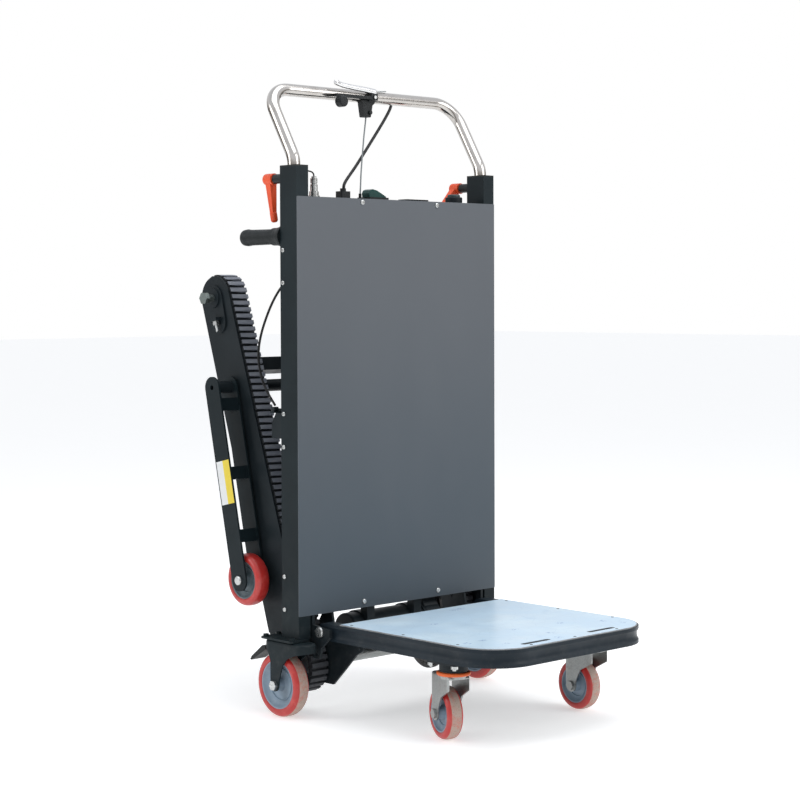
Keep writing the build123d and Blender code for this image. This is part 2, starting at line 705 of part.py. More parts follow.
def wheel_tyre(radius, width, rim):
    """Tyre with wide round shoulders."""
    tyre = Rot(0, 90, 0) * Cylinder(radius, width)
    tyre = fillet(tyre.edges(), width / 4)
    return tyre - Rot(0, 90, 0) * Cylinder(rim, width + 2)


def wheel_hub(rim, width, boss_width):
    """Dished hub: rim ring, web and boss, bored for its axle."""
    hub = Rot(0, 90, 0) * Cylinder(rim, width - 4)
    for face in (-1, 1):
        dish = Rot(0, 90, 0) * Cylinder(rim - 5, 8)
        hub -= Pos(face * (width / 2 - 2), 0, 0) * dish
    hub += Rot(0, 90, 0) * Cylinder(15.0, boss_width)
    return hub - Rot(0, 90, 0) * Cylinder(AXLE_R + RUNNING, boss_width + 2)


def rear_wheel(side):
    wheel = group(wheel_tyre(REAR_R, REAR_W, REAR_RIM), wheel_hub(REAR_RIM, REAR_W, 39.0))
    return Pos(side * REAR_X, REAR_Y, REAR_R) * wheel


def brake_pedal(side):
    """Foot pedal of the rear caster brake, with its pivot pin."""
    py, pz = PEDAL_PIVOT
    outline = [(py + 4, pz - 4), (py + 2, pz + 5), (py + 14, pz + 4), (py + 48, pz - 22), (py + 53, pz - 30),
               (py + 46, pz - 29), (py + 10, pz - 7)]
    lever = sheet_x(256, 290, outline)
    lever = fillet(lever.edges().filter_by(Axis.X), 1.5)
    lever += rod_x(FORK_X[0] + FORK_SHEET + 0.2, FORK_X[1] - FORK_SHEET - 0.2, py + 4, pz, 3.0)
    return lever if side > 0 else left(lever)


# ---------------------------------------------------------------- platform
def platform_outline(inset, rear=0.0):
    """Rectangle with large round front corners; its last line closes the rear."""
    x = RAIL_X1 - inset
    y0 = PLATFORM_FRONT + inset
    r = PLATFORM_CORNER - inset
    return [
        Line((-x, rear), (-x, y0 + r)),
        RadiusArc((-x, y0 + r), (-x + r, y0), -r),
        Line((-x + r, y0), (x - r, y0)),
        RadiusArc((x - r, y0), (x, y0 + r), -r),
        Line((x, y0 + r), (x, rear)),
        Line((x, rear), (-x, rear)),
    ]


def platform_slab(inset, z0, z1, rear=0.0):
    face = make_face([line.edge() for line in platform_outline(inset)])
    slab = extrude(Pos(0, 0, z0) * face, z1 - z0)
    return slab - block(-300, 300, rear, 50, z0 - 1, z1 + 1)


def rail_rear_ends():
    """Rail ends rounded about the platform's pivot."""
    radius = PIVOT_Z - RAIL_BOTTOM
    keep = block(-260, 260, PLATFORM_FRONT - 5, PIVOT_Y, RAIL_BOTTOM - 5, RAIL_TOP + 5)
    return keep + rod_x(-260, 260, PIVOT_Y, PIVOT_Z, radius)


def rail_groove():
    """Shallow round groove along the outside of the rail, from one hinge to the other."""
    groove_r = (GROOVE_HALF ** 2 + GROOVE_DEPTH ** 2) / (2 * GROOVE_DEPTH)
    offset = groove_r - GROOVE_DEPTH
    lines = platform_outline(-offset, PIVOT_Y - 24)[:5]
    path = Pos(0, 0, (RAIL_BOTTOM + RAIL_TOP) / 2) * Wire([line.edge() for line in lines])
    return sweep(Plane(origin=path @ 0, z_dir=path % 0) * Circle(groove_r), path)


def platform_frame():
    """Rail bent round three sides, with three cross bars welded inside."""
    rail = platform_slab(0, RAIL_BOTTOM, RAIL_TOP) - platform_slab(RAIL_W, RAIL_BOTTOM - 1, RAIL_TOP + 1, 10)
    rail &= rail_rear_ends()
    rail -= rail_groove()
    inner = RAIL_X1 - RAIL_W
    for y0, y1 in ((-78, -54), (-250, -226), (-372, -318)):
        bar = block(-inner, inner, y0, y1, RAIL_BOTTOM + 5, RAIL_TOP)
        rail += bar - block(-inner, inner, y0 + 2, y1 - 2, RAIL_BOTTOM + 7, RAIL_TOP - 2)
    return rail - rod_x(-260, 260, PIVOT_Y, PIVOT_Z, 6.0 + RUNNING)


def strap_slots(z0, z1):
    slots = None
    for x in (-SLOT_X, SLOT_X):
        cut = extrude(Pos(x, SLOT_Y, z0) * SlotOverall(SLOT_LENGTH, 2 * SLOT_R), z1 - z0)
        slots = cut if slots is None else slots + cut
    return slots


def platform_deck():
    deck = platform_slab(3, RAIL_TOP, RAIL_TOP + DECK_THICK, DECK_REAR)
    deck -= strap_slots(RAIL_TOP - 1, RAIL_TOP + 5)
    for x, y in DECK_RIVETS:
        deck += rivet_head(x, y)
    return deck


def rivet_head(x, y):
    head = rod_z(RAIL_TOP + DECK_THICK - 0.5, RAIL_TOP + DECK_THICK + 0.9, x, y, 3.0)
    return fillet(head.edges().group_by(Axis.Z)[-1], 0.8)


def hinge_ears():
    """Ear plates on the frame that hold the platform's pivot pins."""
    outline = [(14, MEMBER_Z[0]), (0, MEMBER_Z[0]), (0, 183), (-50, 178), (-50, 162), (-26, 140),
               (-20, 118), (-2, 118), (4, 135), (14, 165)]
    ear = sheet_x(233.5, 239.5, outline)
    ear -= rod_x(230, 243, PIVOT_Y, PIVOT_Z, 6.0)
    return pair(ear - rod_x(230, 243, -12, 127, 4.0))


def hinge_pins():
    pin = rod_x(206, 240, PIVOT_Y, PIVOT_Z, 6.0)
    head = rod_x(239.5, 243.5, PIVOT_Y, PIVOT_Z, 10.5)
    head = fillet(head.edges().group_by(Axis.X)[-1], 1.8)
    return pair(pin + head)


# ---------------------------------------------------------------- front casters


def front_caster_plate():
    plate = block(SWIVEL_X - 42, SWIVEL_X + 36, SWIVEL_Y - 40, SWIVEL_Y + 40, RAIL_BOTTOM - 4, RAIL_BOTTOM)
    plate = fillet(plate.edges().filter_by(Axis.Z), 8.0)
    plate += rod_z(RING_Z[1] + 1, RAIL_BOTTOM - 4, SWIVEL_X, SWIVEL_Y, 27.0)
    return plate - rod_z(RING_Z[0] - 20, RAIL_BOTTOM + 1, SWIVEL_X, SWIVEL_Y, 5.0 + RUNNING)


def front_caster_plates():
    """Mounting plates under the rails, each with the nuts of its four bolts."""
    bolts = []
    for dx in (-32, 28):
        for dy in (-30, 30):
            x, y = SWIVEL_X + dx, SWIVEL_Y + dy
            nut = extrude(Pos(x, y, RAIL_BOTTOM - 10) * RegularPolygon(7.0, 6), 6)
            bolts.append(nut + rod_z(RAIL_BOTTOM - 13, RAIL_BOTTOM - 10, x, y, 3.5))
    return pair(group(front_caster_plate(), *bolts))


def swivel_place(side):
    return Pos(side * SWIVEL_X, SWIVEL_Y, 0) * Rot(0, 0, -SWIVEL_REST[side])


def fork_side_outline():
    """Side view of a front fork leg: deep at the crown, swept back and round the axle."""
    y, z, top = TRAIL, FRONT_R, RING_Z[0]
    return [(y - 11, z), (y - 14, z + 12), (y - 26, z + 34), (-26, z + 52), (-27, top), (51, top), (54, z + 48),
            (53, z + 30), (49, z + 12), (y + 13, z - 2)]


def front_fork(side):
    """Swivel fork with a trailing axle, drawn straight and turned to its rest angle."""
    top = RING_Z[0]
    half = FORK_HALF
    hood = block(-half, half, -27, 54, FRONT_R - 20, top)
    hood = fillet(hood.edges().filter_by(Axis.Z), 9.0)
    hood = fillet(hood.edges().group_by(Axis.Z)[-1], 4.0)
    fork = hood - block(-half + 3, half - 3, -40, 70, 0, top - 5)
    fork &= sheet_x(-half - 1, half + 1, fork_side_outline())
    for x0 in (-half, half - 3):
        fork += rod_x(x0, x0 + 3, TRAIL, FRONT_R, 13.0)
    fork -= rod_x(-half - 1, half + 1, TRAIL, FRONT_R, AXLE_R)
    fork += rod_z(top - 5, top, 0, 0, 29.0)
    fork += rod_z(top, RAIL_BOTTOM - 5, 0, 0, 5.0)
    fork += rod_z(top, RING_Z[1], 0, 0, 25.0)
    axle = rod_x(-half - 1, half + 1, TRAIL, FRONT_R, AXLE_R)
    axle += hex_x(half, half + 5, TRAIL, FRONT_R, 9.5)
    axle += hex_x(-half - 5, -half, TRAIL, FRONT_R, 9.5)
    return swivel_place(side) * group(fork, axle, dust_ring())


def dust_ring():
    """Soft ring that covers the swivel bearing."""
    z0, z1 = RING_Z[0] + 0.1, RING_Z[1] - 0.3
    ring = rod_z(z0, z1, 0, 0, 32.0)
    ring = fillet(ring.edges(), 2.8)
    return ring - rod_z(z0 - 1, z1 + 1, 0, 0, 25.1)


def front_wheel(side):
    wheel = group(wheel_tyre(FRONT_R, FRONT_W, FRONT_RIM), wheel_hub(FRONT_RIM, FRONT_W, 39.0))
    return swivel_place(side) * Pos(0, TRAIL, FRONT_R) * wheel


# ---------------------------------------------------------------- drive
def bearing_plates():
    """Plates hanging from the lower cross member that carry the drive shaft."""
    outline = [(2, MEMBER_Z[0]), (26, MEMBER_Z[0]), (60, 150), (94, 120), (94, 76), (78, 58), (-2, 58),
               (-37, 92), (-69, 124), (-92, 137), (-92, 149), (-30, 149), (-6, 165)]
    plate = sheet_x(183, 188, outline)
    bolt = rod_x(188, 190.5, -80, 141, 4.5)
    bolt = fillet(bolt.edges().group_by(Axis.X)[-1], 1.5)
    return pair(plate - rod_x(180, 190, DRIVE_Y, DRIVE_Z, BEARING_R) + bolt)


def shaft_bearings():
    """Ball bearings pressed into the bearing plates."""
    bearing = rod_x(180, 190, DRIVE_Y, DRIVE_Z, BEARING_R) - rod_x(179, 191, DRIVE_Y, DRIVE_Z, SHAFT_R + RUNNING)
    return pair(bearing)


def drive_shaft():
    return rod_x(-245, 245, DRIVE_Y, DRIVE_Z, SHAFT_R)


def toothed_disc(x0, x1, y, z, radius, teeth, depth):
    disc = rod_x(x0, x1, y, z, radius)
    gap_r = pi * radius / teeth / 2.2
    for tooth in range(teeth):
        angle = 2 * pi * tooth / teeth
        cy = y + (radius + gap_r - depth) * cos(angle)
        cz = z + (radius + gap_r - depth) * sin(angle)
        disc -= rod_x(x0 - 1, x1 + 1, cy, cz, gap_r)
    return disc


def drive_pulleys():
    """Toothed pulleys inside the lower ends of the belts."""
    pulley = toothed_disc(BELT_X0 + 1, BELT_X1 - 1, DRIVE_Y, DRIVE_Z, PULLEY_R, 20, 4.0)
    return pair(pulley - rod_x(190, 245, DRIVE_Y, DRIVE_Z, SHAFT_R))


def drive_sprocket():
    disc = toothed_disc(CHAIN_X[0], CHAIN_X[1], DRIVE_Y, DRIVE_Z, BIG_SPROCKET_R, 32, 3.2)
    disc += rod_x(CHAIN_X[0] - 5, CHAIN_X[1] + 8, DRIVE_Y, DRIVE_Z, 22.0)
    for hole in range(6):
        angle = 2 * pi * hole / 6
        disc -= rod_x(CHAIN_X[0] - 1, CHAIN_X[1] + 1, DRIVE_Y + 31 * cos(angle), DRIVE_Z + 31 * sin(angle), 5.5)
    return disc - rod_x(CHAIN_X[0] - 9, CHAIN_X[1] + 9, DRIVE_Y, DRIVE_Z, SHAFT_R)


def chain():
    """Roller chain, drawn as a closed band round both sprockets."""
    big, small = BIG_SPROCKET_R + 0.4, SMALL_SPROCKET_R + 0.4
    span = (DRIVE_Y, DRIVE_Z), (MOTOR_Y, OUTPUT_Z)

    def loop(extra):
        circles = Pos(*span[0]) * Circle(big + extra) + Pos(*span[1]) * Circle(small + extra)
        return make_hull(circles.edges())

    band = Plane.YZ.offset(CHAIN_X[0]) * (loop(CHAIN_THICK) - loop(0))
    return extrude(band, CHAIN_X[1] - CHAIN_X[0])


def output_sprocket():
    disc = toothed_disc(CHAIN_X[0], CHAIN_X[1], MOTOR_Y, OUTPUT_Z, SMALL_SPROCKET_R, 11, 2.6)
    return disc + rod_x(GEARBOX_X[1] - 14, CHAIN_X[1] + 4, MOTOR_Y, OUTPUT_Z, 8.0)


def gearbox():
    """Reduction gearbox: motor flange, round gear case and output boss."""
    x0, x1 = GEARBOX_X
    case = rod_x(x0 + 6, x1 - 4, MOTOR_Y, MOTOR_Z, MOTOR_R + 4)
    case += rod_x(x0 + 6, x1 - 4, MOTOR_Y, OUTPUT_Z - 6, 26.0)
    case += rod_x(x0, x0 + 6, MOTOR_Y, MOTOR_Z, MOTOR_R + 3)
    case += rod_x(x1 - 4, x1, MOTOR_Y, OUTPUT_Z, 15.0)
    return case - rod_x(x1 - 15, x1 + 1, MOTOR_Y, OUTPUT_Z, 8.0 + RUNNING)


def drive_motor():
    motor = rod_x(-118, GEARBOX_X[0], MOTOR_Y, MOTOR_Z, MOTOR_R)
    motor = fillet(motor.edges().group_by(Axis.X)[0], 4.0)
    return motor


def motor_brackets():
    """Saddle straps that hang the motor from the lower cross member."""
    straps = []
    for x in (-90.0, 40.0):
        strap = rod_x(x, x + 20, MOTOR_Y, MOTOR_Z, MOTOR_R + 3)
        strap += block(x, x + 20, 4, 24, MOTOR_Z + 20, MEMBER_Z[0])
        straps.append(strap - rod_x(x - 1, x + 21, MOTOR_Y, MOTOR_Z, MOTOR_R))
    return group(*straps)


# ---------------------------------------------------------------- track modules
def hull_of(*circles):
    shape = None
    for a, b, r in circles:
        disc = Pos(a, b) * Circle(r)
        shape = disc if shape is None else shape + disc
    return make_hull(shape.edges())


def track_inner_plate():
    """Inner side plate, turning on the drive shaft, with the boss opposite the strut pin."""
    face = hull_of((0, 0, INNER_HALF[0]), (TRACK_LENGTH, 0, INNER_HALF[1]))
    face -= Circle(SHAFT_R + RUNNING)
    face -= Pos(TRACK_LENGTH, 0) * Circle(8.0)
    face -= Pos(ARM_PIVOT_A, 0) * Circle(SHAFT_R + RUNNING)
    boss = rod_x(181, INNER_PLATE[0], STRUT_LOW[0], STRUT_LOW[1], 9.0)
    return track_sheet(face, *INNER_PLATE) + boss


def track_outer_plate():
    """Outer side plate: round at the idler, cut off square to the upright above the drive pulley."""
    face = hull_of((60, 0, OUTER_HALF[0]), (TRACK_LENGTH, 0, OUTER_HALF[1]))
    face -= Pos(TRACK_LENGTH, 0) * Circle(8.0)
    face -= Pos(ARM_PIVOT_A, 0) * Circle(SHAFT_R + RUNNING)
    plate = track_sheet(face, *OUTER_PLATE)
    return plate - block(200, 300, -100, 300, 0, OUTER_PLATE_END)


def track_frame():
    """Both pairs of side plates, tied together by the cross beam."""
    sides = pair(group(track_inner_plate(), track_outer_plate()))
    return group(sides, cross_beam())


def belt_guides():
    """Low friction rails that carry the belt between the side plates."""
    rails = []
    for b0 in (-34.0, 29.0):
        rails.append(track_block(INNER_PLATE[1], OUTER_PLATE[0], 95, TRACK_LENGTH - 75, b0, b0 + 5))
    return pair(group(*rails))


def track_belts():
    return pair(belt())


def idlers():
    wheel = rod_x(BELT_X0 + 1, BELT_X1 - 1, IDLER_Y, IDLER_Z, IDLER_R)
    wheel -= rod_x(BELT_X1 - 9, BELT_X1, IDLER_Y, IDLER_Z, IDLER_R - 7) - rod_x(0, 300, IDLER_Y, IDLER_Z, 16)
    return pair(wheel - rod_x(190, 245, IDLER_Y, IDLER_Z, 8.0 + RUNNING))


def idler_bolts():
    """Long bolts that carry the idlers, with a big washer and nut outside."""
    bolt = rod_x(185, 268, IDLER_Y, IDLER_Z, 8.0)
    bolt += hex_x(266, 275, IDLER_Y, IDLER_Z, 13.0)
    bolt += hex_x(184, 191, IDLER_Y, IDLER_Z, 13.0)
    return pair(bolt)


def belt_tensioners():
    """Cover plate of each belt tensioner, its big washer and the screw that pushes the idler."""
    face = hull_of((TRACK_LENGTH, 0, 26), (TRACK_LENGTH - 52, 0, 22)) - Pos(TRACK_LENGTH, 0) * Circle(8.0)
    plate = track_sheet(face, 243.5, 247.5)
    lug = track_block(247.5, 262, TRACK_LENGTH - 50, TRACK_LENGTH - 44, -11, 11)
    washer = rod_x(247.5, 251, IDLER_Y, IDLER_Z, 20.0) - rod_x(240, 260, IDLER_Y, IDLER_Z, 8.0)
    along = Rot(0, 90, 0)
    shank = along * Cylinder(3.0, 22, align=(Align.CENTER, Align.CENTER, Align.MAX))
    nut = along * extrude(RegularPolygon(6.5, 6), -8)
    screw = place_on_track(Pos(TRACK_LENGTH - 50, 0, -255) * (shank + nut))
    return pair(group(plate + lug, washer, screw))


def cross_beam():
    """Box beam that ties the two track modules together."""
    inner = INNER_PLATE[0]
    beam = track_block(-inner, inner, CROSS_BEAM_A - 14, CROSS_BEAM_A + 14, -16, 16)
    return beam - track_block(-inner, inner, CROSS_BEAM_A - 12, CROSS_BEAM_A + 12, -14, 14)


# ---------------------------------------------------------------- support arms
ARM_PIVOT = on_track(ARM_PIVOT_A, 0)
ARM_AXLE = (ARM_PIVOT[0] - ARM_LENGTH * sin(ARM_TILT), ARM_PIVOT[1] - ARM_LENGTH * cos(ARM_TILT))


def on_arm(along, across):
    y = ARM_PIVOT[0] - along * sin(ARM_TILT) + across * cos(ARM_TILT)
    z = ARM_PIVOT[1] - along * cos(ARM_TILT) - across * sin(ARM_TILT)
    return (y, z)


def arm_bars():
    outer = bar_x(ARM_OUTER[0], ARM_OUTER[1], ARM_PIVOT, ARM_AXLE, ARM_HALF)
    outer -= rod_x(290, 310, ARM_PIVOT[0], ARM_PIVOT[1], 5.0)
    outer -= rod_x(290, 310, ARM_AXLE[0], ARM_AXLE[1], AXLE_R)
    inner = bar_x(ARM_INNER[0], ARM_INNER[1], ARM_PIVOT, ARM_AXLE, ARM_HALF)
    inner -= rod_x(240, 260, ARM_PIVOT[0], ARM_PIVOT[1], SHAFT_R)
    inner -= rod_x(240, 260, ARM_AXLE[0], ARM_AXLE[1], AXLE_R)
    return pair(group(outer, inner))


def arm_brackets():
    """U shaped spacers welded between the two bars of each arm."""
    parts = []
    x0, x1 = ARM_INNER[1], ARM_OUTER[0]
    for along in ARM_BRACKETS:
        corners = [on_arm(along - 13, -18), on_arm(along + 13, -18), on_arm(along + 13, 10), on_arm(along - 13, 10)]
        hollow = [on_arm(along - 14, -15), on_arm(along + 14, -15), on_arm(along + 14, 12), on_arm(along - 14, 12)]
        parts.append(sheet_x(x0, x1, corners) - sheet_x(x0 + 3, x1 - 3, hollow))
    return pair(group(*parts))


def arm_cross_shaft():
    """Tube on which both arms turn, through both track modules."""
    y, z = ARM_PIVOT
    return rod_x(-ARM_OUTER[0], ARM_OUTER[0], y, z, SHAFT_R) - rod_x(-300, 300, y, z, SHAFT_R - 2.5)


def arm_axles():
    y, z = ARM_AXLE
    axle = rod_x(ARM_INNER[0] - 1, ARM_OUTER[1] + 1, y, z, AXLE_R)
    head = rod_x(ARM_OUTER[1], ARM_OUTER[1] + 5, y, z, 9.5)
    axle += fillet(head.edges().group_by(Axis.X)[-1], 3.0)
    axle += hex_x(ARM_INNER[0] - 4, ARM_INNER[0], y, z, 10.0)
    return pair(axle)


def arm_wheel(side):
    wheel = group(wheel_tyre(ARM_WHEEL_R, ARM_WHEEL_W, ARM_RIM), wheel_hub(ARM_RIM, ARM_WHEEL_W, 40.0))
    return Pos(side * ARM_WHEEL_X, *ARM_AXLE) * wheel


# ---------------------------------------------------------------- gas struts
STRUT_LENGTH = hypot(STRUT_TOP[0] - STRUT_LOW[0], STRUT_TOP[1] - STRUT_LOW[1])
STRUT_LEAN = atan2(STRUT_LOW[0] - STRUT_TOP[0], STRUT_TOP[1] - STRUT_LOW[1])


def along_strut(part):
    """Place a part drawn along -z from the top pivot."""
    return Pos(STRUT_X, *STRUT_TOP) * Rot(degrees(STRUT_LEAN), 0, 0) * part


def strut_brackets():
    """Plates on the middle cross member that hold the top pins of the struts."""
    y, z = STRUT_TOP
    plate = sheet_x(STRUT_X + 6, STRUT_X + 10, [(MEMBER_DEPTH, 576), (MEMBER_DEPTH, 604), (y + 4, z + 12),
                                                (y + 10, z), (y + 4, z - 12), (y - 8, z - 12)])
    pin = rod_x(STRUT_X - 8, STRUT_X + 12, y, z, 4.0)
    return pair(plate + pin)


def strut_cylinders():
    tube = Pos(0, 0, -126) * Cylinder(9.0, 200)
    tube -= Pos(0, 0, -128) * Cylinder(4.0 + RUNNING, 197)
    tube += Rot(0, 90, 0) * Cylinder(8.0, 11)
    tube += Pos(0, 0, -18) * Cylinder(5.0, 22)
    tube -= Pos(0, 0, 0) * Rot(0, 90, 0) * Cylinder(4.0 + RUNNING, 14)
    return pair(along_strut(tube))


def strut_rods():
    top = -40.0
    rod = Pos(0, 0, (top - STRUT_LENGTH) / 2) * Cylinder(4.0, STRUT_LENGTH + top)
    rod += Pos(0, 0, -STRUT_LENGTH) * Rot(0, 90, 0) * Cylinder(8.0, 11)
    rod += Pos(8, 0, -STRUT_LENGTH) * Rot(0, 90, 0) * Cylinder(4.0, 8)
    return pair(along_strut(rod))


# ---------------------------------------------------------------- all nodes
def build():
    return {
        "upright_frame": group(uprights(), cross_members(), grip_stubs()),
        "frame_brackets": group(
            hinge_ears(), bearing_plates(), strut_brackets(), motor_brackets(), cable_bracket(), button_collar()
        ),
        "upright_caps": upright_caps(),
        "front_panel": front_panel(),
        "cover_screws": group(panel_screws(), side_screws()),
        "top_plate": top_plate(),
        "charge_socket": charge_socket(),
        "cable_entries": group(cable_gland(), cable_barrel()),
        "switch_bezel": switch_bezel(),
        "direction_rocker": direction_rocker(),
        "battery_gauge": battery_gauge(),
        "power_button": power_button(),
        "rear_housing": rear_housing(),
        "battery_pack": battery_pack(),
        "motor_controller": motor_controller(),
        "handle_tube": handle_tube(),
        "lever_perch": group(lever_perch(), perch_screws()),
        "lock_knob": lock_knob(),
        "brake_lever": brake_lever(),
        "brake_cable": brake_cable(),
        "switch_cable": switch_cable(),
        "side_cable": group(side_cable(), socket_lead()),
        "clamp_bosses": clamp_bosses(),
        "clamp_lever_left": clamp_lever(-1),
        "clamp_lever_right": clamp_lever(1),
        "rear_grips": rear_grips(),
        "rear_forks": rear_forks(),
        "rear_axles": rear_axles(),
        "rear_wheel_left": rear_wheel(-1),
        "rear_wheel_right": rear_wheel(1),
        "brake_pedal_left": brake_pedal(-1),
        "brake_pedal_right": brake_pedal(1),
        "hinge_pins": hinge_pins(),
        "platform_frame": platform_frame(),
        "platform_deck": platform_deck(),
        "front_caster_plates": front_caster_plates(),
        "front_fork_left": front_fork(-1),
        "front_fork_right": front_fork(1),
        "front_wheel_left": front_wheel(-1),
        "front_wheel_right": front_wheel(1),
        "drive_motor": drive_motor(),
        "gearbox": gearbox(),
        "output_sprocket": output_sprocket(),
        "chain": chain(),
        "drive_sprocket": drive_sprocket(),
        "drive_shaft": drive_shaft(),
        "shaft_bearings": shaft_bearings(),
        "drive_pulleys": drive_pulleys(),
        "track_frame": track_frame(),
        "track_belts": track_belts(),
        "belt_guides": belt_guides(),
        "idlers": idlers(),
        "idler_bolts": idler_bolts(),
        "belt_tensioners": belt_tensioners(),
        "support_arms": group(arm_bars(), arm_brackets(), arm_axles()),
        "arm_cross_shaft": arm_cross_shaft(),
        "arm_wheel_left": arm_wheel(-1),
        "arm_wheel_right": arm_wheel(1),
        "strut_cylinders": strut_cylinders(),
        "strut_rods": strut_rods(),
    }


def save(nodes):
    os.makedirs("parts", exist_ok=True)
    for name, shape in nodes.items():
        export_step(Pos(0, -FOOTPRINT_MIDDLE_Y, 0) * shape, f"parts/{name}.step")


save(build())
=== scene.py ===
"""Looks of the stair climbing trolley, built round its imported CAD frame. Metres, +Z up."""
import json
import math

import bmesh
import bpy
from mathutils import Matrix, Vector


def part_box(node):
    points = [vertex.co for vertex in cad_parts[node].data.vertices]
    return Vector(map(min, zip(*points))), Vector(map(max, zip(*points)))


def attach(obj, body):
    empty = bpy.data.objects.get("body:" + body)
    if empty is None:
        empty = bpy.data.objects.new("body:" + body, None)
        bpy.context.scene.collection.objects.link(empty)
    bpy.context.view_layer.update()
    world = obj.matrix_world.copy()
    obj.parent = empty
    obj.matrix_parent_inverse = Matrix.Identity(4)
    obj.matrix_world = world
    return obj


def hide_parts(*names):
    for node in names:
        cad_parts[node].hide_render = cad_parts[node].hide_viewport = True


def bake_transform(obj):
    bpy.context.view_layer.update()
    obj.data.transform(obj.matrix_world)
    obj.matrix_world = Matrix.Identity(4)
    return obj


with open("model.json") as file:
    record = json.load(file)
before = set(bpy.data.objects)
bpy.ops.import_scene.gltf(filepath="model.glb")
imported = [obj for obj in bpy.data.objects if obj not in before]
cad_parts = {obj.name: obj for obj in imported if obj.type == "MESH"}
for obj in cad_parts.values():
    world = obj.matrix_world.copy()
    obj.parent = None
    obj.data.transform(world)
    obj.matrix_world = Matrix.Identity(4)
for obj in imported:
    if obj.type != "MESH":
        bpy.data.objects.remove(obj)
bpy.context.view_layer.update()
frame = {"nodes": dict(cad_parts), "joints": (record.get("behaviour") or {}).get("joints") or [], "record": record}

MM = 0.001
NODES = frame["nodes"]
JOINTS = {joint["name"]: joint for joint in frame["joints"]}


# ---------------------------------------------------------------- shader helpers
def srgb(r, g, b):
    """Display colour, 0 to 255 a channel, as a linear colour."""
    def linear(c):
        c /= 255
        return c / 12.92 if c <= 0.04045 else ((c + 0.055) / 1.055) ** 2.4
    return (linear(r), linear(g), linear(b), 1.0)


class Shader:
    """A node material, built up one texture at a time."""

    def __init__(self, name, colour, roughness=0.5, metallic=0.0, **settings):
        self.material = bpy.data.materials.new(name)
        self.material.use_nodes = True
        self.tree = self.material.node_tree
        self.bsdf = self.tree.nodes["Principled BSDF"]
        self.bsdf.inputs["Base Color"].default_value = colour
        self.bsdf.inputs["Roughness"].default_value = roughness
        self.bsdf.inputs["Metallic"].default_value = metallic
        for key, value in settings.items():
            self.bsdf.inputs[key.replace("_", " ")].default_value = value
        self.colour = colour
        self.place = self.new("ShaderNodeTexCoord").outputs["Object"]
        self.normal = None

    def new(self, kind, **values):
        node = self.tree.nodes.new(kind)
        for key, value in values.items():
            setattr(node, key, value)
        return node

    def link(self, source, target):
        self.tree.links.new(source, target)

    def stretched(self, scale):
        mapping = self.new("ShaderNodeMapping")
        mapping.inputs["Scale"].default_value = scale
        self.link(self.place, mapping.inputs["Vector"])
        return mapping.outputs["Vector"]

    def noise(self, scale, detail=3.0, roughness=0.5, stretch=(1, 1, 1)):
        texture = self.new("ShaderNodeTexNoise")
        texture.inputs["Scale"].default_value = scale
        texture.inputs["Detail"].default_value = detail
        texture.inputs["Roughness"].default_value = roughness
        self.link(self.stretched(stretch), texture.inputs["Vector"])
        return texture.outputs["Fac"]

    def cells(self, scale, feature="F1", stretch=(1, 1, 1)):
        texture = self.new("ShaderNodeTexVoronoi", feature=feature)
        texture.inputs["Scale"].default_value = scale
        self.link(self.stretched(stretch), texture.inputs["Vector"])
        return texture.outputs["Distance"]

    def ramp(self, value, low, high, start=0.0, end=1.0):
        mapped = self.new("ShaderNodeMapRange", interpolation_type="SMOOTHSTEP")
        mapped.inputs["From Min"].default_value = low
        mapped.inputs["From Max"].default_value = high
        mapped.inputs["To Min"].default_value = start
        mapped.inputs["To Max"].default_value = end
        self.link(value, mapped.inputs["Value"])
        return mapped.outputs["Result"]

    def math(self, operation, a, b):
        node = self.new("ShaderNodeMath", operation=operation)
        for slot, value in enumerate((a, b)):
            if isinstance(value, (int, float)):
                node.inputs[slot].default_value = value
            else:
                self.link(value, node.inputs[slot])
        return node.outputs["Value"]

    def axis(self, name):
        split = self.new("ShaderNodeSeparateXYZ")
        self.link(self.place, split.inputs["Vector"])
        return split.outputs[name]

    def tint(self, mask, colour, strength=1.0):
        """Lay a colour over the base where the mask is high."""
        mix = self.new("ShaderNodeMix", data_type="RGBA")
        self.link(self.math("MULTIPLY", mask, strength), mix.inputs["Factor"])
        socket = self.bsdf.inputs["Base Color"]
        if socket.links:
            self.link(socket.links[0].from_socket, mix.inputs["A"])
        else:
            mix.inputs["A"].default_value = self.colour
        mix.inputs["B"].default_value = colour
        self.link(mix.outputs["Result"], socket)

    def gloss(self, mask, low, high):
        """Roughness from low to high with the mask."""
        self.link(self.ramp(mask, 0.0, 1.0, low, high), self.bsdf.inputs["Roughness"])

    def bump(self, height, distance, strength=1.0):
        node = self.new("ShaderNodeBump")
        node.inputs["Distance"].default_value = distance
        node.inputs["Strength"].default_value = strength
        self.link(height, node.inputs["Height"])
        if self.normal is not None:
            self.link(self.normal, node.inputs["Normal"])
        self.normal = node.outputs["Normal"]
        self.link(self.normal, self.bsdf.inputs["Normal"])

    def edges(self, radius):
        """1 on sharp outer edges, falling to 0 on flats."""
        bevel = self.new("ShaderNodeBevel", samples=4)
        bevel.inputs["Radius"].default_value = radius
        geometry = self.new("ShaderNodeNewGeometry")
        dot = self.new("ShaderNodeVectorMath", operation="DOT_PRODUCT")
        self.link(bevel.outputs["Normal"], dot.inputs[0])
        self.link(geometry.outputs["Normal"], dot.inputs[1])
        return self.ramp(self.math("SUBTRACT", 1.0, dot.outputs["Value"]), 0.02, 0.25)


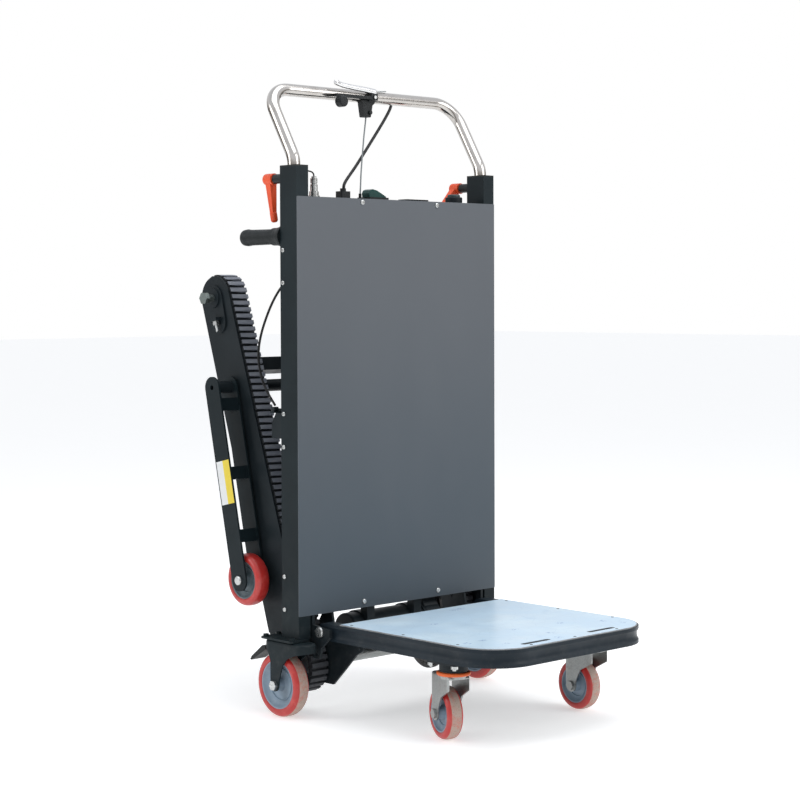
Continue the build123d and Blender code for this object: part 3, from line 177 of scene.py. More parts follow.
# ---------------------------------------------------------------- materials
def powder_coat(name, colour, light, roughness=0.42, grain=1500.0):
    """Baked powder paint: fine orange peel, faint clouding, lighter edges that are partly wear and partly a
    painted edge highlight, and floor dust low down.
    """
    s = Shader(name, colour, roughness, Specular_IOR_Level=0.17)
    s.tint(s.ramp(s.noise(9.0, 5.0), 0.35, 0.75), light, 0.3)
    # Lighter edges: partly worn paint, partly a painted edge highlight.
    s.tint(s.edges(0.0012), light, 0.6)
    dust = s.math("MULTIPLY", s.ramp(s.axis("Z"), 0.35, 0.0), s.ramp(s.noise(60.0, 6.0, 0.7), 0.45, 0.75))
    s.tint(dust, srgb(104, 102, 98), 0.16)
    s.gloss(s.noise(35.0, 4.0), roughness - 0.08, roughness + 0.14)
    s.bump(s.noise(grain, 2.0), 0.00012, 0.5)
    s.bump(s.noise(6.0, 2.0), 0.0006, 0.25)
    return s.material


def panel_coat():
    """The big front sheet: smoother paint, painted shade that makes it slightly darker and bluer towards the
    floor, and painted highlights on its edges.
    """
    s = Shader("panel_coat", srgb(87, 91, 96), 0.46, Specular_IOR_Level=0.3)
    # Painted shade: darker and bluer towards the floor.
    s.tint(s.ramp(s.axis("Z"), 0.95, 0.25), srgb(68, 78, 86), 0.9)
    s.tint(s.ramp(s.noise(3.0, 3.0, 0.6, (1, 1, 0.4)), 0.40, 0.80), srgb(94, 98, 103), 0.35)
    s.tint(s.ramp(s.noise(220.0, 5.0, 0.8), 0.66, 0.80), srgb(112, 116, 120), 0.2)
    # Painted highlight: lighter edges where the sheet's edges catch the light.
    s.tint(s.edges(0.001), srgb(120, 124, 128), 0.5)
    s.gloss(s.noise(14.0, 5.0), 0.38, 0.56)
    s.bump(s.noise(1300.0, 2.0), 0.00010, 0.5)
    s.bump(s.noise(2.2, 1.0), 0.0015, 0.35)
    return s.material


def stainless_tube():
    """Polished stainless: drawn lines along the tube and brownish darker clouding, a painted reflection of dark
    surroundings.
    """
    s = Shader("stainless_tube", srgb(192, 188, 183), 0.14, 1.0)
    # Painted reflection: brownish darker clouding standing in for dark surroundings mirrored in the tube.
    s.tint(s.ramp(s.noise(30.0, 6.0, 0.7), 0.45, 0.8), srgb(132, 122, 112), 0.45)
    s.gloss(s.noise(90.0, 5.0, 0.8), 0.08, 0.2)
    s.bump(s.noise(60.0, 2.0, 0.5), 0.00006, 0.25)
    return s.material


def chrome():
    """Polished chrome on a casting: slight ripples and duller patches."""
    s = Shader("chrome_cast", srgb(222, 222, 222), 0.12, 1.0)
    s.tint(s.ramp(s.noise(70.0, 5.0), 0.5, 0.85), srgb(165, 163, 160), 0.4)
    s.gloss(s.noise(160.0, 4.0), 0.06, 0.26)
    s.bump(s.noise(260.0, 3.0), 0.00008, 0.4)
    return s.material


def zinc(name, colour=(168, 171, 170), roughness=0.34):
    """Zinc plating: small spangle, dull patches and brownish darker clouding."""
    s = Shader(name, srgb(*colour), roughness, 0.92)
    s.tint(s.ramp(s.cells(420.0), 0.2, 0.9), srgb(120, 124, 124), 0.35)
    s.tint(s.ramp(s.noise(40.0, 6.0, 0.75), 0.52, 0.75), srgb(116, 110, 100), 0.45)
    s.gloss(s.noise(120.0, 4.0), roughness - 0.1, roughness + 0.2)
    s.bump(s.noise(700.0, 3.0), 0.00006, 0.5)
    return s.material


def oiled_steel():
    """Dark steel with oily patches, and bright edges that are partly wear and partly a painted edge highlight."""
    s = Shader("oiled_steel", srgb(70, 70, 70), 0.35, 0.85)
    s.tint(s.ramp(s.noise(55.0, 6.0, 0.7), 0.45, 0.7), srgb(32, 28, 24), 0.7)
    # Bright edges: partly wear, partly a painted edge highlight.
    s.tint(s.edges(0.0008), srgb(150, 150, 148), 0.5)
    s.gloss(s.noise(90.0, 4.0), 0.22, 0.5)
    s.bump(s.noise(500.0, 3.0), 0.0001, 0.5)
    return s.material


def cast_aluminium():
    """Matt cast aluminium with faint grey clouding."""
    s = Shader("cast_aluminium", srgb(176, 178, 180), 0.38, 0.9)
    s.tint(s.ramp(s.noise(45.0, 5.0), 0.45, 0.8), srgb(120, 122, 124), 0.5)
    s.gloss(s.noise(150.0, 4.0), 0.28, 0.55)
    s.bump(s.noise(800.0, 4.0, 0.7), 0.00018, 0.6)
    return s.material


def moulded(name, colour, roughness=0.5, grain=1100.0, depth=0.00016):
    """Moulded plastic with spark-eroded grain, and lighter edges that are partly rubbed wear and partly a painted
    edge highlight.
    """
    s = Shader(name, colour, roughness, Specular_IOR_Level=0.3)
    light = tuple(min(1.0, c * 1.7 + 0.006) for c in colour[:3]) + (1.0,)
    s.tint(s.ramp(s.noise(28.0, 5.0), 0.45, 0.8), light, 0.3)
    # Lighter edges: partly rubbed wear, partly a painted edge highlight.
    s.tint(s.edges(0.0008), light, 0.5)
    s.gloss(s.noise(60.0, 4.0), roughness - 0.12, roughness + 0.12)
    s.bump(s.cells(grain), depth, 0.5)
    return s.material


def belt_rubber(name, colour, dusty, low_shade=None):
    """Track rubber with a dusty bloom and scuffs across the lugs, and, when a shade colour is given, painted shade
    darkening it low down near the drive end.
    """
    s = Shader(name, colour, 0.68)
    s.tint(s.ramp(s.noise(130.0, 6.0, 0.75, (0.25, 1, 1)), 0.42, 0.72), dusty, 0.8)
    s.tint(s.ramp(s.noise(24.0, 4.0), 0.4, 0.75), dusty, 0.35)
    # Painted shade: the rubber darkens towards the floor, where the drive end lies in shadow.
    if low_shade:
        s.tint(s.ramp(s.axis("Z"), 0.45, 0.16), low_shade, 0.9)
    s.gloss(s.noise(200.0, 4.0), 0.55, 0.85)
    s.bump(s.noise(900.0, 4.0, 0.7), 0.0002, 0.7)
    return s.material


def polyurethane():
    """Cast red polyurethane: slightly translucent with a soft shine and rubbed patches."""
    s = Shader("polyurethane_red", srgb(182, 42, 38), 0.32, Subsurface_Weight=0.08, Subsurface_Scale=0.004,
               Coat_Weight=0.25)
    s.bsdf.inputs["Subsurface Radius"].default_value = (1.0, 0.25, 0.2)
    s.tint(s.ramp(s.noise(38.0, 6.0, 0.7), 0.48, 0.72), srgb(206, 84, 76), 0.55)
    s.tint(s.ramp(s.noise(20.0, 5.0, 0.7), 0.52, 0.74), srgb(132, 30, 28), 0.6)
    s.tint(s.ramp(s.noise(300.0, 5.0, 0.8), 0.6, 0.78), srgb(212, 140, 130), 0.4)
    s.gloss(s.noise(80.0, 4.0), 0.26, 0.52)
    s.bump(s.noise(350.0, 4.0, 0.7), 0.00015, 0.5)
    return s.material


def worn_tread():
    """Tread that has run on concrete: taupe grime ground into the red."""
    s = Shader("tread_worn", srgb(176, 156, 144), 0.72)
    s.tint(s.ramp(s.noise(70.0, 6.0, 0.8), 0.46, 0.66), srgb(196, 104, 94), 0.7)
    s.tint(s.ramp(s.cells(260.0), 0.0, 0.35, 1.0, 0.0), srgb(112, 100, 92), 0.6)
    s.gloss(s.noise(120.0, 4.0), 0.6, 0.86)
    s.bump(s.noise(420.0, 6.0, 0.8), 0.0004, 0.8)
    return s.material


def hub_nylon(name, colour):
    """Moulded nylon with pale rubbed patches and dark grime."""
    s = Shader(name, srgb(*colour), 0.38)
    s.tint(s.ramp(s.noise(60.0, 6.0, 0.7), 0.48, 0.75), srgb(176, 190, 198), 0.35)
    s.tint(s.ramp(s.noise(16.0, 4.0), 0.48, 0.76), srgb(72, 84, 92), 0.6)
    s.gloss(s.noise(90.0, 4.0), 0.34, 0.58)
    s.bump(s.noise(600.0, 3.0), 0.00012, 0.5)
    return s.material


def deck_film():
    """Thin clear blue film over bright sheet: wrinkles, trapped air and faint repeated flecks."""
    s = Shader("deck_film", srgb(204, 230, 250), 0.34, 0.0, Coat_Weight=0.3, Coat_Roughness=0.2)
    s.tint(s.ramp(s.noise(7.0, 4.0, 0.6), 0.38, 0.72), srgb(222, 242, 254), 0.8)
    s.tint(s.ramp(s.cells(26.0, "DISTANCE_TO_EDGE"), 0.03, 0.0), srgb(176, 204, 228), 0.25)
    patch = s.ramp(s.cells(17.0), 0.20, 0.12)
    fleck = s.math("MULTIPLY", patch, s.ramp(s.noise(210.0, 3.0, 0.6), 0.52, 0.58))
    s.tint(fleck, srgb(96, 140, 196), 0.85)
    s.gloss(s.noise(22.0, 5.0), 0.24, 0.5)
    s.bump(s.noise(12.0, 4.0, 0.6, (1, 2.2, 1)), 0.0012, 0.4)
    s.bump(s.noise(90.0, 3.0), 0.0003, 0.3)
    return s.material


def sticker(name, colour):
    """Plain vinyl with scuffs and faint dirt."""
    s = Shader(name, srgb(*colour), 0.38)
    s.tint(s.ramp(s.noise(90.0, 6.0, 0.8), 0.56, 0.72), srgb(150, 146, 132), 0.4)
    s.gloss(s.noise(60.0, 3.0), 0.3, 0.55)
    s.bump(s.noise(220.0, 3.0), 0.0001, 0.4)
    return s.material


BLACK_COAT = powder_coat("frame_coat", srgb(18, 28, 32), srgb(38, 50, 54))
BRACKET_COAT = powder_coat("bracket_coat", srgb(24, 31, 35), srgb(50, 58, 62), 0.42)
RAIL_COAT = powder_coat("rail_coat", srgb(26, 35, 42), srgb(48, 58, 66), 0.34)
PANEL_COAT = panel_coat()
STAINLESS = stainless_tube()
CHROME = chrome()
ZINC = zinc("zinc_plate")
DULL_ZINC = zinc("dull_zinc", (128, 138, 136), 0.36)
BRIGHT_ZINC = zinc("bright_zinc", (205, 207, 206), 0.24)
OILED = oiled_steel()
ALUMINIUM = cast_aluminium()
BLACK_PLASTIC = moulded("black_plastic", srgb(14, 19, 21), 0.42)
GREEN_SWITCH = moulded("switch_cover", srgb(10, 58, 54), 0.30)
GREY_PLASTIC = moulded("grey_plastic", srgb(48, 62, 64), 0.40)
DARK_GLASS = moulded("gauge_window", srgb(18, 22, 26), 0.16, 1500.0, 0.00003)
BATTERY_WRAP = moulded("battery_wrap", srgb(40, 62, 110), 0.4)
GRIP_RUBBER = moulded("grip_rubber", srgb(13, 20, 22), 0.5, 1500.0, 0.0001)
GUIDE_NYLON = moulded("guide_nylon", srgb(74, 106, 98), 0.5)
CABLE_GREY = moulded("cable_grey", srgb(108, 114, 116), 0.45, 2200.0)
CABLE_BLACK = moulded("cable_black", srgb(10, 11, 12), 0.5, 2200.0)
LEVER_ORANGE = moulded("lever_orange", srgb(226, 84, 46), 0.38, 1300.0, 0.0001)
RING_ORANGE = moulded("ring_orange", srgb(214, 96, 44), 0.45)
BELT = belt_rubber("belt_rubber", srgb(26, 30, 34), srgb(58, 62, 66))
# Lug faces in a lighter copy of the belt rubber: dust plus painted light on the lit lug faces; the last colour is
# painted shade low down.
BELT_LUG = belt_rubber("belt_lug_face", srgb(122, 127, 138), srgb(150, 154, 162), srgb(30, 33, 36))
RED = polyurethane()
TREAD = worn_tread()
HUB_BLUE = hub_nylon("hub_nylon_blue", (132, 150, 166))
HUB_GREY = hub_nylon("hub_nylon_grey", (92, 106, 112))
FILM = deck_film()
RIVET_STEEL = zinc("rivet_steel", (92, 98, 104), 0.4)
LABEL_WHITE = sticker("label_white", (222, 224, 224))
LABEL_YELLOW = sticker("label_yellow", (226, 202, 60))

NODE_MATERIALS = {
    "upright_frame": BLACK_COAT, "frame_brackets": BRACKET_COAT, "upright_caps": BLACK_PLASTIC,
    "front_panel": PANEL_COAT, "cover_screws": BRIGHT_ZINC, "top_plate": BLACK_COAT,
    "charge_socket": BRIGHT_ZINC, "cable_entries": BLACK_PLASTIC, "switch_bezel": BLACK_PLASTIC,
    "direction_rocker": GREEN_SWITCH, "battery_gauge": DARK_GLASS, "power_button": GREY_PLASTIC,
    "rear_housing": BLACK_COAT, "battery_pack": BATTERY_WRAP, "motor_controller": ALUMINIUM,
    "handle_tube": STAINLESS, "lever_perch": BLACK_PLASTIC, "lock_knob": BLACK_PLASTIC,
    "brake_lever": CHROME, "side_cable": CABLE_BLACK, "clamp_bosses": BLACK_PLASTIC,
    "clamp_lever_left": LEVER_ORANGE, "clamp_lever_right": LEVER_ORANGE, "rear_grips": GRIP_RUBBER,
    "rear_forks": BLACK_COAT, "rear_axles": BRIGHT_ZINC, "brake_pedal_left": BLACK_PLASTIC,
    "brake_pedal_right": BLACK_PLASTIC, "hinge_pins": BRIGHT_ZINC, "platform_frame": RAIL_COAT,
    "platform_deck": ALUMINIUM, "front_caster_plates": BRACKET_COAT, "front_fork_left": ZINC,
    "front_fork_right": ZINC, "drive_motor": BRACKET_COAT, "gearbox": BRACKET_COAT,
    "output_sprocket": OILED, "chain": OILED, "drive_sprocket": OILED, "drive_shaft": ZINC,
    "shaft_bearings": OILED, "drive_pulleys": ALUMINIUM, "track_frame": BRACKET_COAT,
    "track_belts": BELT, "belt_guides": GUIDE_NYLON, "idlers": GUIDE_NYLON, "idler_bolts": DULL_ZINC,
    "belt_tensioners": BRACKET_COAT, "support_arms": BLACK_COAT, "arm_cross_shaft": BRACKET_COAT,
    "strut_cylinders": BLACK_COAT, "strut_rods": BRIGHT_ZINC,
}
SOFT_EDGE = {
    "upright_frame": 1.6, "front_panel": 0.5, "lever_perch": 0.6, "rear_forks": 1.2, "support_arms": 0.9,
    "platform_frame": 1.4, "front_fork_left": 0.8, "front_fork_right": 0.8, "track_frame": 0.6,
    "clamp_bosses": 0.8, "frame_brackets": 0.7, "front_caster_plates": 0.6, "belt_tensioners": 0.6,
    "gearbox": 1.0, "top_plate": 0.5, "rear_housing": 0.5, "drive_motor": 0.8, "idler_bolts": 0.5,
    "rear_axles": 0.5, "charge_socket": 0.5, "cable_entries": 0.4, "direction_rocker": 0.5,
    "switch_bezel": 0.8, "battery_gauge": 0.8, "track_belts": 0.5,
}


# ---------------------------------------------------------------- mesh helpers
def smooth_by_angle(obj, degrees=32.0):
    """Smooth shading that keeps sharp edges."""
    mesh = obj.data
    mesh.shade_smooth()
    mesh.set_sharp_from_angle(angle=math.radians(degrees))


def add_bevel(obj, width):
    bevel = obj.modifiers.new("soft_edge", "BEVEL")
    bevel.width = width
    bevel.segments = 2
    bevel.limit_method = "ANGLE"
    bevel.angle_limit = math.radians(40)
    bevel.harden_normals = True


def finish_cad_nodes():
    for name, material in NODE_MATERIALS.items():
        obj = NODES[name]
        obj.data.materials.clear()
        obj.data.materials.append(material)
        smooth_by_angle(obj)
        if name in SOFT_EDGE:
            add_bevel(obj, SOFT_EDGE[name] * MM)


def put_in_scene(name, data):
    """Object that shows a mesh, a light or a camera."""
    obj = bpy.data.objects.new(name, data)
    bpy.context.scene.collection.objects.link(obj)
    return obj


def new_object(name, verts, faces, materials, body, indices=None):
    """Mesh piece with outward normals that rides on a body, unless body is None."""
    mesh = bpy.data.meshes.new(name)
    mesh.from_pydata([tuple(v) for v in verts], [], faces)
    for material in materials:
        mesh.materials.append(material)
    if indices:
        for polygon, index in zip(mesh.polygons, indices):
            polygon.material_index = index
    obj = put_in_scene(name, mesh)
    mesh.update()
    tidy = bmesh.new()
    tidy.from_mesh(mesh)
    bmesh.ops.recalc_face_normals(tidy, faces=tidy.faces)
    tidy.to_mesh(mesh)
    tidy.free()
    smooth_by_angle(obj)
    if body:
        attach(obj, body)
    return obj


def turning_frame(centre, axis):
    """Matrix whose local x runs along the axis, at the centre."""
    x = Vector(axis).normalized()
    up = Vector((0, 0, 1)) if abs(x.z) < 0.9 else Vector((0, 1, 0))
    y = up.cross(x).normalized()
    z = x.cross(y)
    return Matrix.Translation(centre) @ Matrix((x, y, z)).transposed().to_4x4()


def lathe(name, profile, centre, axis, materials, body, segments=96, pick=None):
    """Closed ring from a closed profile of (along, radius) points turned about an axis."""
    place = turning_frame(centre, axis)
    count = len(profile)
    verts = []
    for step in range(segments):
        angle = 2 * math.pi * step / segments
        for along, radius in profile:
            verts.append(place @ Vector((along, radius * math.cos(angle), radius * math.sin(angle))))
    faces, indices = [], []
    for step in range(segments):
        here, ahead = step * count, ((step + 1) % segments) * count
        for k in range(count):
            n = (k + 1) % count
            faces.append((here + k, ahead + k, ahead + n, here + n))
            indices.append(pick(profile[k], profile[n]) if pick else 0)
    return new_object(name, verts, faces, materials, body, indices)


def arc_points(cx, cy, radius, start, end, steps):
    points = []
    for k in range(steps + 1):
        angle = math.radians(start + (end - start) * k / steps)
        points.append((cx + radius * math.cos(angle), cy + radius * math.sin(angle)))
    return points


def smooth_path(points, steps):
    """Catmull-Rom curve through the points."""
    points = [Vector(p) for p in points]
    ends = [2 * points[0] - points[1]] + points + [2 * points[-1] - points[-2]]
    out = []
    for k in range(1, len(ends) - 2):
        a, b, c, d = ends[k - 1:k + 3]
        for step in range(steps):
            t = step / steps
            out.append(0.5 * ((2 * b) + (c - a) * t + (2 * a - 5 * b + 4 * c - d) * t * t
                              + (3 * b - a - 3 * c + d) * t ** 3))
    out.append(points[-1])
    return out


def sweep_tube(name, path, radii, material, body, sides=20, flat=1.0, up=(0, 0, 1)):
    """Tube along a path; radii holds one radius, or one for every point. flat squeezes it along up."""
    if isinstance(radii, float):
        radii = [radii] * len(path)
    verts, faces = [], []
    reference = Vector(up)
    for k, point in enumerate(path):
        ahead = path[min(k + 1, len(path) - 1)] - path[max(k - 1, 0)]
        ahead.normalize()
        side = ahead.cross(reference).normalized()
        lift = side.cross(ahead).normalized()
        for s in range(sides):
            angle = 2 * math.pi * s / sides
            verts.append(point + radii[k] * (math.cos(angle) * side + flat * math.sin(angle) * lift))
    for k in range(len(path) - 1):
        for s in range(sides):
            n = (s + 1) % sides
            faces.append((k * sides + s, k * sides + n, (k + 1) * sides + n, (k + 1) * sides + s))
    faces.append(tuple(range(sides)))
    faces.append(tuple((len(path) - 1) * sides + s for s in range(sides)))
    return new_object(name, verts, faces, [material], body)


# ---------------------------------------------------------------- wheels
def tyre_profile(radius, width, rim):
    """Large round shoulders, a slightly domed crown and a thin bead at the rim."""
    half = width / 2
    shoulder = width * 0.31
    crown = 0.5 * MM
    side = [(half - 1.6 * MM, rim), (half - 0.4 * MM, rim + 1.2 * MM), (half, rim + 3.0 * MM)]
    corner = arc_points(half - shoulder, radius - shoulder - crown, shoulder, 0, 84, 10)
    right = side + corner
    left = [(-x, r) for x, r in reversed(right)]
    top = [(half * 0.26, radius - 0.1 * MM), (0, radius), (-half * 0.26, radius - 0.1 * MM)]
    return right + top + left


def hub_profile(width, rim, boss, bore):
    """Dished hub: bead, hollow dish, ring step, web, boss and bore."""
    half = width / 2
    right = [
        (boss / 2, bore), (boss / 2, 9.5 * MM), (boss / 2 - 1.0 * MM, 10.5 * MM), (half * 0.66, 12.0 * MM),
        (half * 0.42, 13.5 * MM), (half * 0.34, 16.0 * MM), (half * 0.30, rim * 0.50),
        (half * 0.32, rim * 0.62), (half * 0.46, rim * 0.645), (half * 0.46, rim * 0.675),
        (half * 0.34, rim * 0.70), (half * 0.38, rim * 0.78),
        (half * 0.52, rim * 0.86), (half * 0.72, rim * 0.92), (half * 0.86, rim - 2.4 * MM),
        (half - 1.8 * MM, rim - 1.2 * MM), (half - 1.6 * MM, rim),
    ]
    left = [(-x, r) for x, r in reversed(right)]
    return right + left


TREAD_DEPTH = 3.0 * MM
HUB_BORE = 6.05 * MM
RIM_GAP = 0.05 * MM
TYRE_SEGMENTS = 128
HUB_SEGMENTS = 96
CASTER_WORN_BAND = 0.66
REAR_WHEEL = dict(width=0.034, rim=0.0475, boss=0.039, hub_material=HUB_BLUE, band=CASTER_WORN_BAND)
FRONT_WHEEL = dict(width=0.032, rim=0.036, boss=0.039, hub_material=HUB_BLUE, band=CASTER_WORN_BAND)
ARM_WHEEL = dict(width=0.032, rim=0.038, boss=0.040, hub_material=HUB_GREY, band=0.0)


def make_wheel(label, width, rim, boss, hub_material, band):
    """Tyre and hub for one wheel; band is the worn share of the tread's width."""
    body, joint = label + "_body", label + "_spin"
    low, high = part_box(label)
    radius = (high.z - low.z) / 2
    data = JOINTS[joint]
    centre, axis = data["pos_m"], data["axis"]

    def worn(a, b):
        in_band = max(abs(a[0]), abs(b[0])) < width * band / 2
        return 1 if in_band and min(a[1], b[1]) > radius - TREAD_DEPTH else 0

    tyre = lathe(label + "_tyre", tyre_profile(radius, width, rim), centre, axis, [RED, TREAD], body,
                 TYRE_SEGMENTS, worn)
    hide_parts(label)
    lathe(label + "_hub", hub_profile(width, rim - RIM_GAP, boss, HUB_BORE), centre, axis,
          [hub_material], body, HUB_SEGMENTS)


def make_wheels():
    for side in ("left", "right"):
        make_wheel(f"rear_wheel_{side}", **REAR_WHEEL)
        make_wheel(f"front_wheel_{side}", **FRONT_WHEEL)
        make_wheel(f"arm_wheel_{side}", **ARM_WHEEL)


# ---------------------------------------------------------------- belts
DRIVE_END_RADIUS = 50.0 * MM
IDLER_END_RADIUS = 43.0 * MM
LUG_RISE = 3.6 * MM
SIDE_FACE_SLOPE = 0.3


def track_line():
    """Centre of the drive end, direction towards the idler, and the distance between the two."""
    drive = Vector(JOINTS["track_fold"]["pos_m"])
    idler = Vector(JOINTS["idler_spin"]["pos_m"])
    run = Vector((0, idler.y - drive.y, idler.z - drive.z))
    length = run.length
    run.normalize()
    return drive, run, length


def paint_lugs():
    """Lug faces take the lighter rubber: dust, plus painted light on the faces that stand out into the light."""
    belts = NODES["track_belts"]
    belts.data.materials.append(BELT_LUG)
    drive, run, length = track_line()
    for polygon in belts.data.polygons:
        offset = Vector((0, polygon.center.y - drive.y, polygon.center.z - drive.z))
        a = offset.dot(run)
        share = min(max(a / length, 0.0), 1.0)
        centre = run * (share * length)
        reach = (offset - centre).length
        root = DRIVE_END_RADIUS + (IDLER_END_RADIUS - DRIVE_END_RADIUS) * share
        outward = abs(polygon.normal.x) < SIDE_FACE_SLOPE
        if outward and reach > root + LUG_RISE:
            polygon.material_index = 1


# ---------------------------------------------------------------- platform film
FILM_INSET = 1.5 * MM
FILM_LIFT = 0.25 * MM
FILM_GAP = 0.05 * MM
SLOT_CLEARANCE = 0.3 * MM
DECK_SHEET = 2.0 * MM
DECK_CORNER = 87.5 * MM


def film_outline(box_low, box_high, corner):
    """Deck outline with round front corners, anticlockwise from the rear left."""
    x = box_high.x - FILM_INSET
    rear = box_high.y - FILM_INSET
    front = box_low.y + FILM_INSET
    points = [(-x, rear)]
    points += arc_points(-x + corner, front + corner, corner, 180, 270, 16)
    points += arc_points(x - corner, front + corner, corner, 270, 360, 16)
    points.append((x, rear))
    return points


def make_film():
    """Film over the deck, open over the two strap slots, and steel colour on the rivets above the sheet."""
    low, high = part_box("platform_deck")
    outline = film_outline(low, high, DECK_CORNER)
    slots = frame["record"]["mounts"][1]
    slot_y = slots["pos_m"][1]
    spacing = slots["dims"]["spacing_x_mm"] * MM / 2
    reach = slots["dims"]["slot_length_mm"] * MM / 2
    radius = slots["dims"]["hole_r_mm"] * MM
    z = low.z + DECK_SHEET + FILM_GAP
    paint(NODES["platform_deck"], RIVET_STEEL, lambda c: c.z > z)
    work = bmesh.new()
    loops = [outline]
    for x in (-spacing, spacing):
        hole = arc_points(x + reach - radius, slot_y, radius + SLOT_CLEARANCE, -90, 90, 8)
        hole += arc_points(x - reach + radius, slot_y, radius + SLOT_CLEARANCE, 90, 270, 8)
        loops.append(hole)
    edges = []
    for loop in loops:
        verts = [work.verts.new((px, py, z)) for px, py in loop]
        for k, vert in enumerate(verts):
            edges.append(work.edges.new((vert, verts[(k + 1) % len(verts)])))
    bmesh.ops.triangle_fill(work, edges=edges, use_beauty=True)
    for face in work.faces:
        if face.normal.z < 0:
            face.normal_flip()
    mesh = bpy.data.meshes.new("deck_film")
    work.to_mesh(mesh)
    work.free()
    mesh.materials.append(FILM)
    film = put_in_scene("deck_film", mesh)
    thick = film.modifiers.new("thickness", "SOLIDIFY")
    thick.thickness = FILM_LIFT
    thick.offset = 1.0
    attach(film, "platform")


# ---------------------------------------------------------------- small pieces
def paint(obj, material, chosen):
    """Second material on the polygons whose centre is chosen."""
    obj.data.materials.append(material)
    index = len(obj.data.materials) - 1
    place = obj.matrix_world
    for polygon in obj.data.polygons:
        if chosen(place @ polygon.center):
            polygon.material_index = index


RING_HALF_HEIGHT = 3.6 * MM
RING_INNER = 25.05 * MM
RING_OUTER = 32.5 * MM
NUT_DEPTH = 4.2 * MM
NUT_CLEAR_OF_SWIVEL = 31 * MM


def paint_casters():
    """Orange dust rings, and bright nuts under the mounting plates."""
    swivels = [Vector(JOINTS[f"swivel_{side}_turn"]["pos_m"]) for side in ("left", "right")]
    for side, swivel in zip(("left", "right"), swivels):
        def in_ring(c, swivel=swivel):
            reach = math.hypot(c.x - swivel.x, c.y - swivel.y)
            return abs(c.z - swivel.z) < RING_HALF_HEIGHT and RING_INNER < reach < RING_OUTER
        paint(NODES[f"front_fork_{side}"], RING_ORANGE, in_ring)
    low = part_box("front_caster_plates")[1].z - NUT_DEPTH

    def is_nut(c):
        reach = min(math.hypot(c.x - s.x, c.y - s.y) for s in swivels)
        return c.z < low and reach > NUT_CLEAR_OF_SWIVEL
    paint(NODES["front_caster_plates"], BRIGHT_ZINC, is_nut)


ARM_HEAD_HEIGHT = 4.9 * MM
ARM_HEAD_RADIUS = 12 * MM


def paint_arm_bolts():
    """Bright heads on the arm axles and pivots."""
    pivot = Vector(JOINTS["arm_swing"]["pos_m"])
    axle = Vector(JOINTS["arm_wheel_left_spin"]["pos_m"])
    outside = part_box("support_arms")[1].x - ARM_HEAD_HEIGHT

    def is_bolt(c):
        reach = min(math.hypot(c.y - p.y, c.z - p.z) for p in (pivot, axle))
        return reach < ARM_HEAD_RADIUS and abs(c.x) > outside
    paint(NODES["support_arms"], BRIGHT_ZINC, is_bolt)


PIVOT_SCREW_DEPTH = 5.8 * MM
SCREW_X = 255.0 * MM
SCREW_REACH = 7.2 * MM
PLATE_FACE_X = 248.6 * MM
IDLER_CLEARANCE = 50.5 * MM


def paint_small_heads():
    """Bright pivot screw of the brake lever, and bright adjusting screws on the belt tensioners."""
    lever_y = JOINTS["brake_lever_pull"]["pos_m"][1]
    paint(NODES["lever_perch"], BRIGHT_ZINC, lambda c: c.y < lever_y - PIVOT_SCREW_DEPTH)
    drive, run, length = track_line()

    def is_screw(c):
        along = (c - drive).dot(run)
        off = (Vector((0, c.y, c.z)) - Vector((0, drive.y, drive.z)) - run * along).length
        beside = math.hypot(abs(c.x) - SCREW_X, off)
        return beside < SCREW_REACH and abs(c.x) > PLATE_FACE_X and along < length - IDLER_CLEARANCE
    paint(NODES["belt_tensioners"], BRIGHT_ZINC, is_screw)


def within(box, x, y, z):
    """Point given as shares of a box's sides."""
    low, high = box
    return Vector((low.x + (high.x - low.x) * x, low.y + (high.y - low.y) * y, low.z + (high.z - low.z) * z))


def make_cable(node, name, points, radius, material):
    """Cable through points given as shares of its CAD box."""
    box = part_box(node)
    path = smooth_path([within(box, *point) for point in points], 14)
    piece = sweep_tube(name, path, radius, material, None, 18, up=(0, 1, 0))
    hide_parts(node)
    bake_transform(piece)


def make_cables():
    make_cable("brake_cable", "brake_cable_sheath", [
        (0.98, 0.98, 1.0), (0.93, 0.95, 0.90), (0.69, 0.71, 0.71), (0.22, 0.22, 0.31), (0.05, 0.04, 0.10),
        (0.02, 0.02, -0.005)], 1.5 * MM, CABLE_GREY)
    make_cable("switch_cable", "switch_cable_sheath", [
        (0.985, 0.96, 1.01), (0.94, 0.94, 0.93), (0.78, 0.83, 0.74), (0.34, 0.41, 0.31), (0.06, 0.08, 0.08),
        (0.02, 0.04, -0.01)], 3.1 * MM, CABLE_BLACK)


def make_brake_lever():
    """Polished cast blade: thick at the pivot, flat and broad along the bar, with an upturned tip."""
    low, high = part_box("brake_lever")
    pivot = Vector(JOINTS["brake_lever_pull"]["pos_m"])
    y = pivot.y
    tip = low.x
    points = [(pivot.x + 7 * MM, y, pivot.z - 1 * MM), (pivot.x - 8 * MM, y, pivot.z + 1 * MM),
              (pivot.x - 32 * MM, y, pivot.z + 3 * MM), (tip + 52 * MM, y, pivot.z + 5 * MM),
              (tip + 24 * MM, y, pivot.z + 8 * MM), (tip + 5 * MM, y, high.z - 3.2 * MM)]
    path = smooth_path(points, 10)
    radii = []
    for k in range(len(path)):
        share = k / (len(path) - 1)
        width = 4.6 - 0.8 * share + 0.8 * math.exp(-((share - 0.95) / 0.05) ** 2)
        if share < 0.04:
            width *= 0.75 + 6 * share
        if share > 0.97:
            width *= 1.0 - 9 * (share - 0.97)
        radii.append(width * MM)
    blade = sweep_tube("brake_lever_blade", path, radii, CHROME, "lever", 28, 1.32)
    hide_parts("brake_lever")


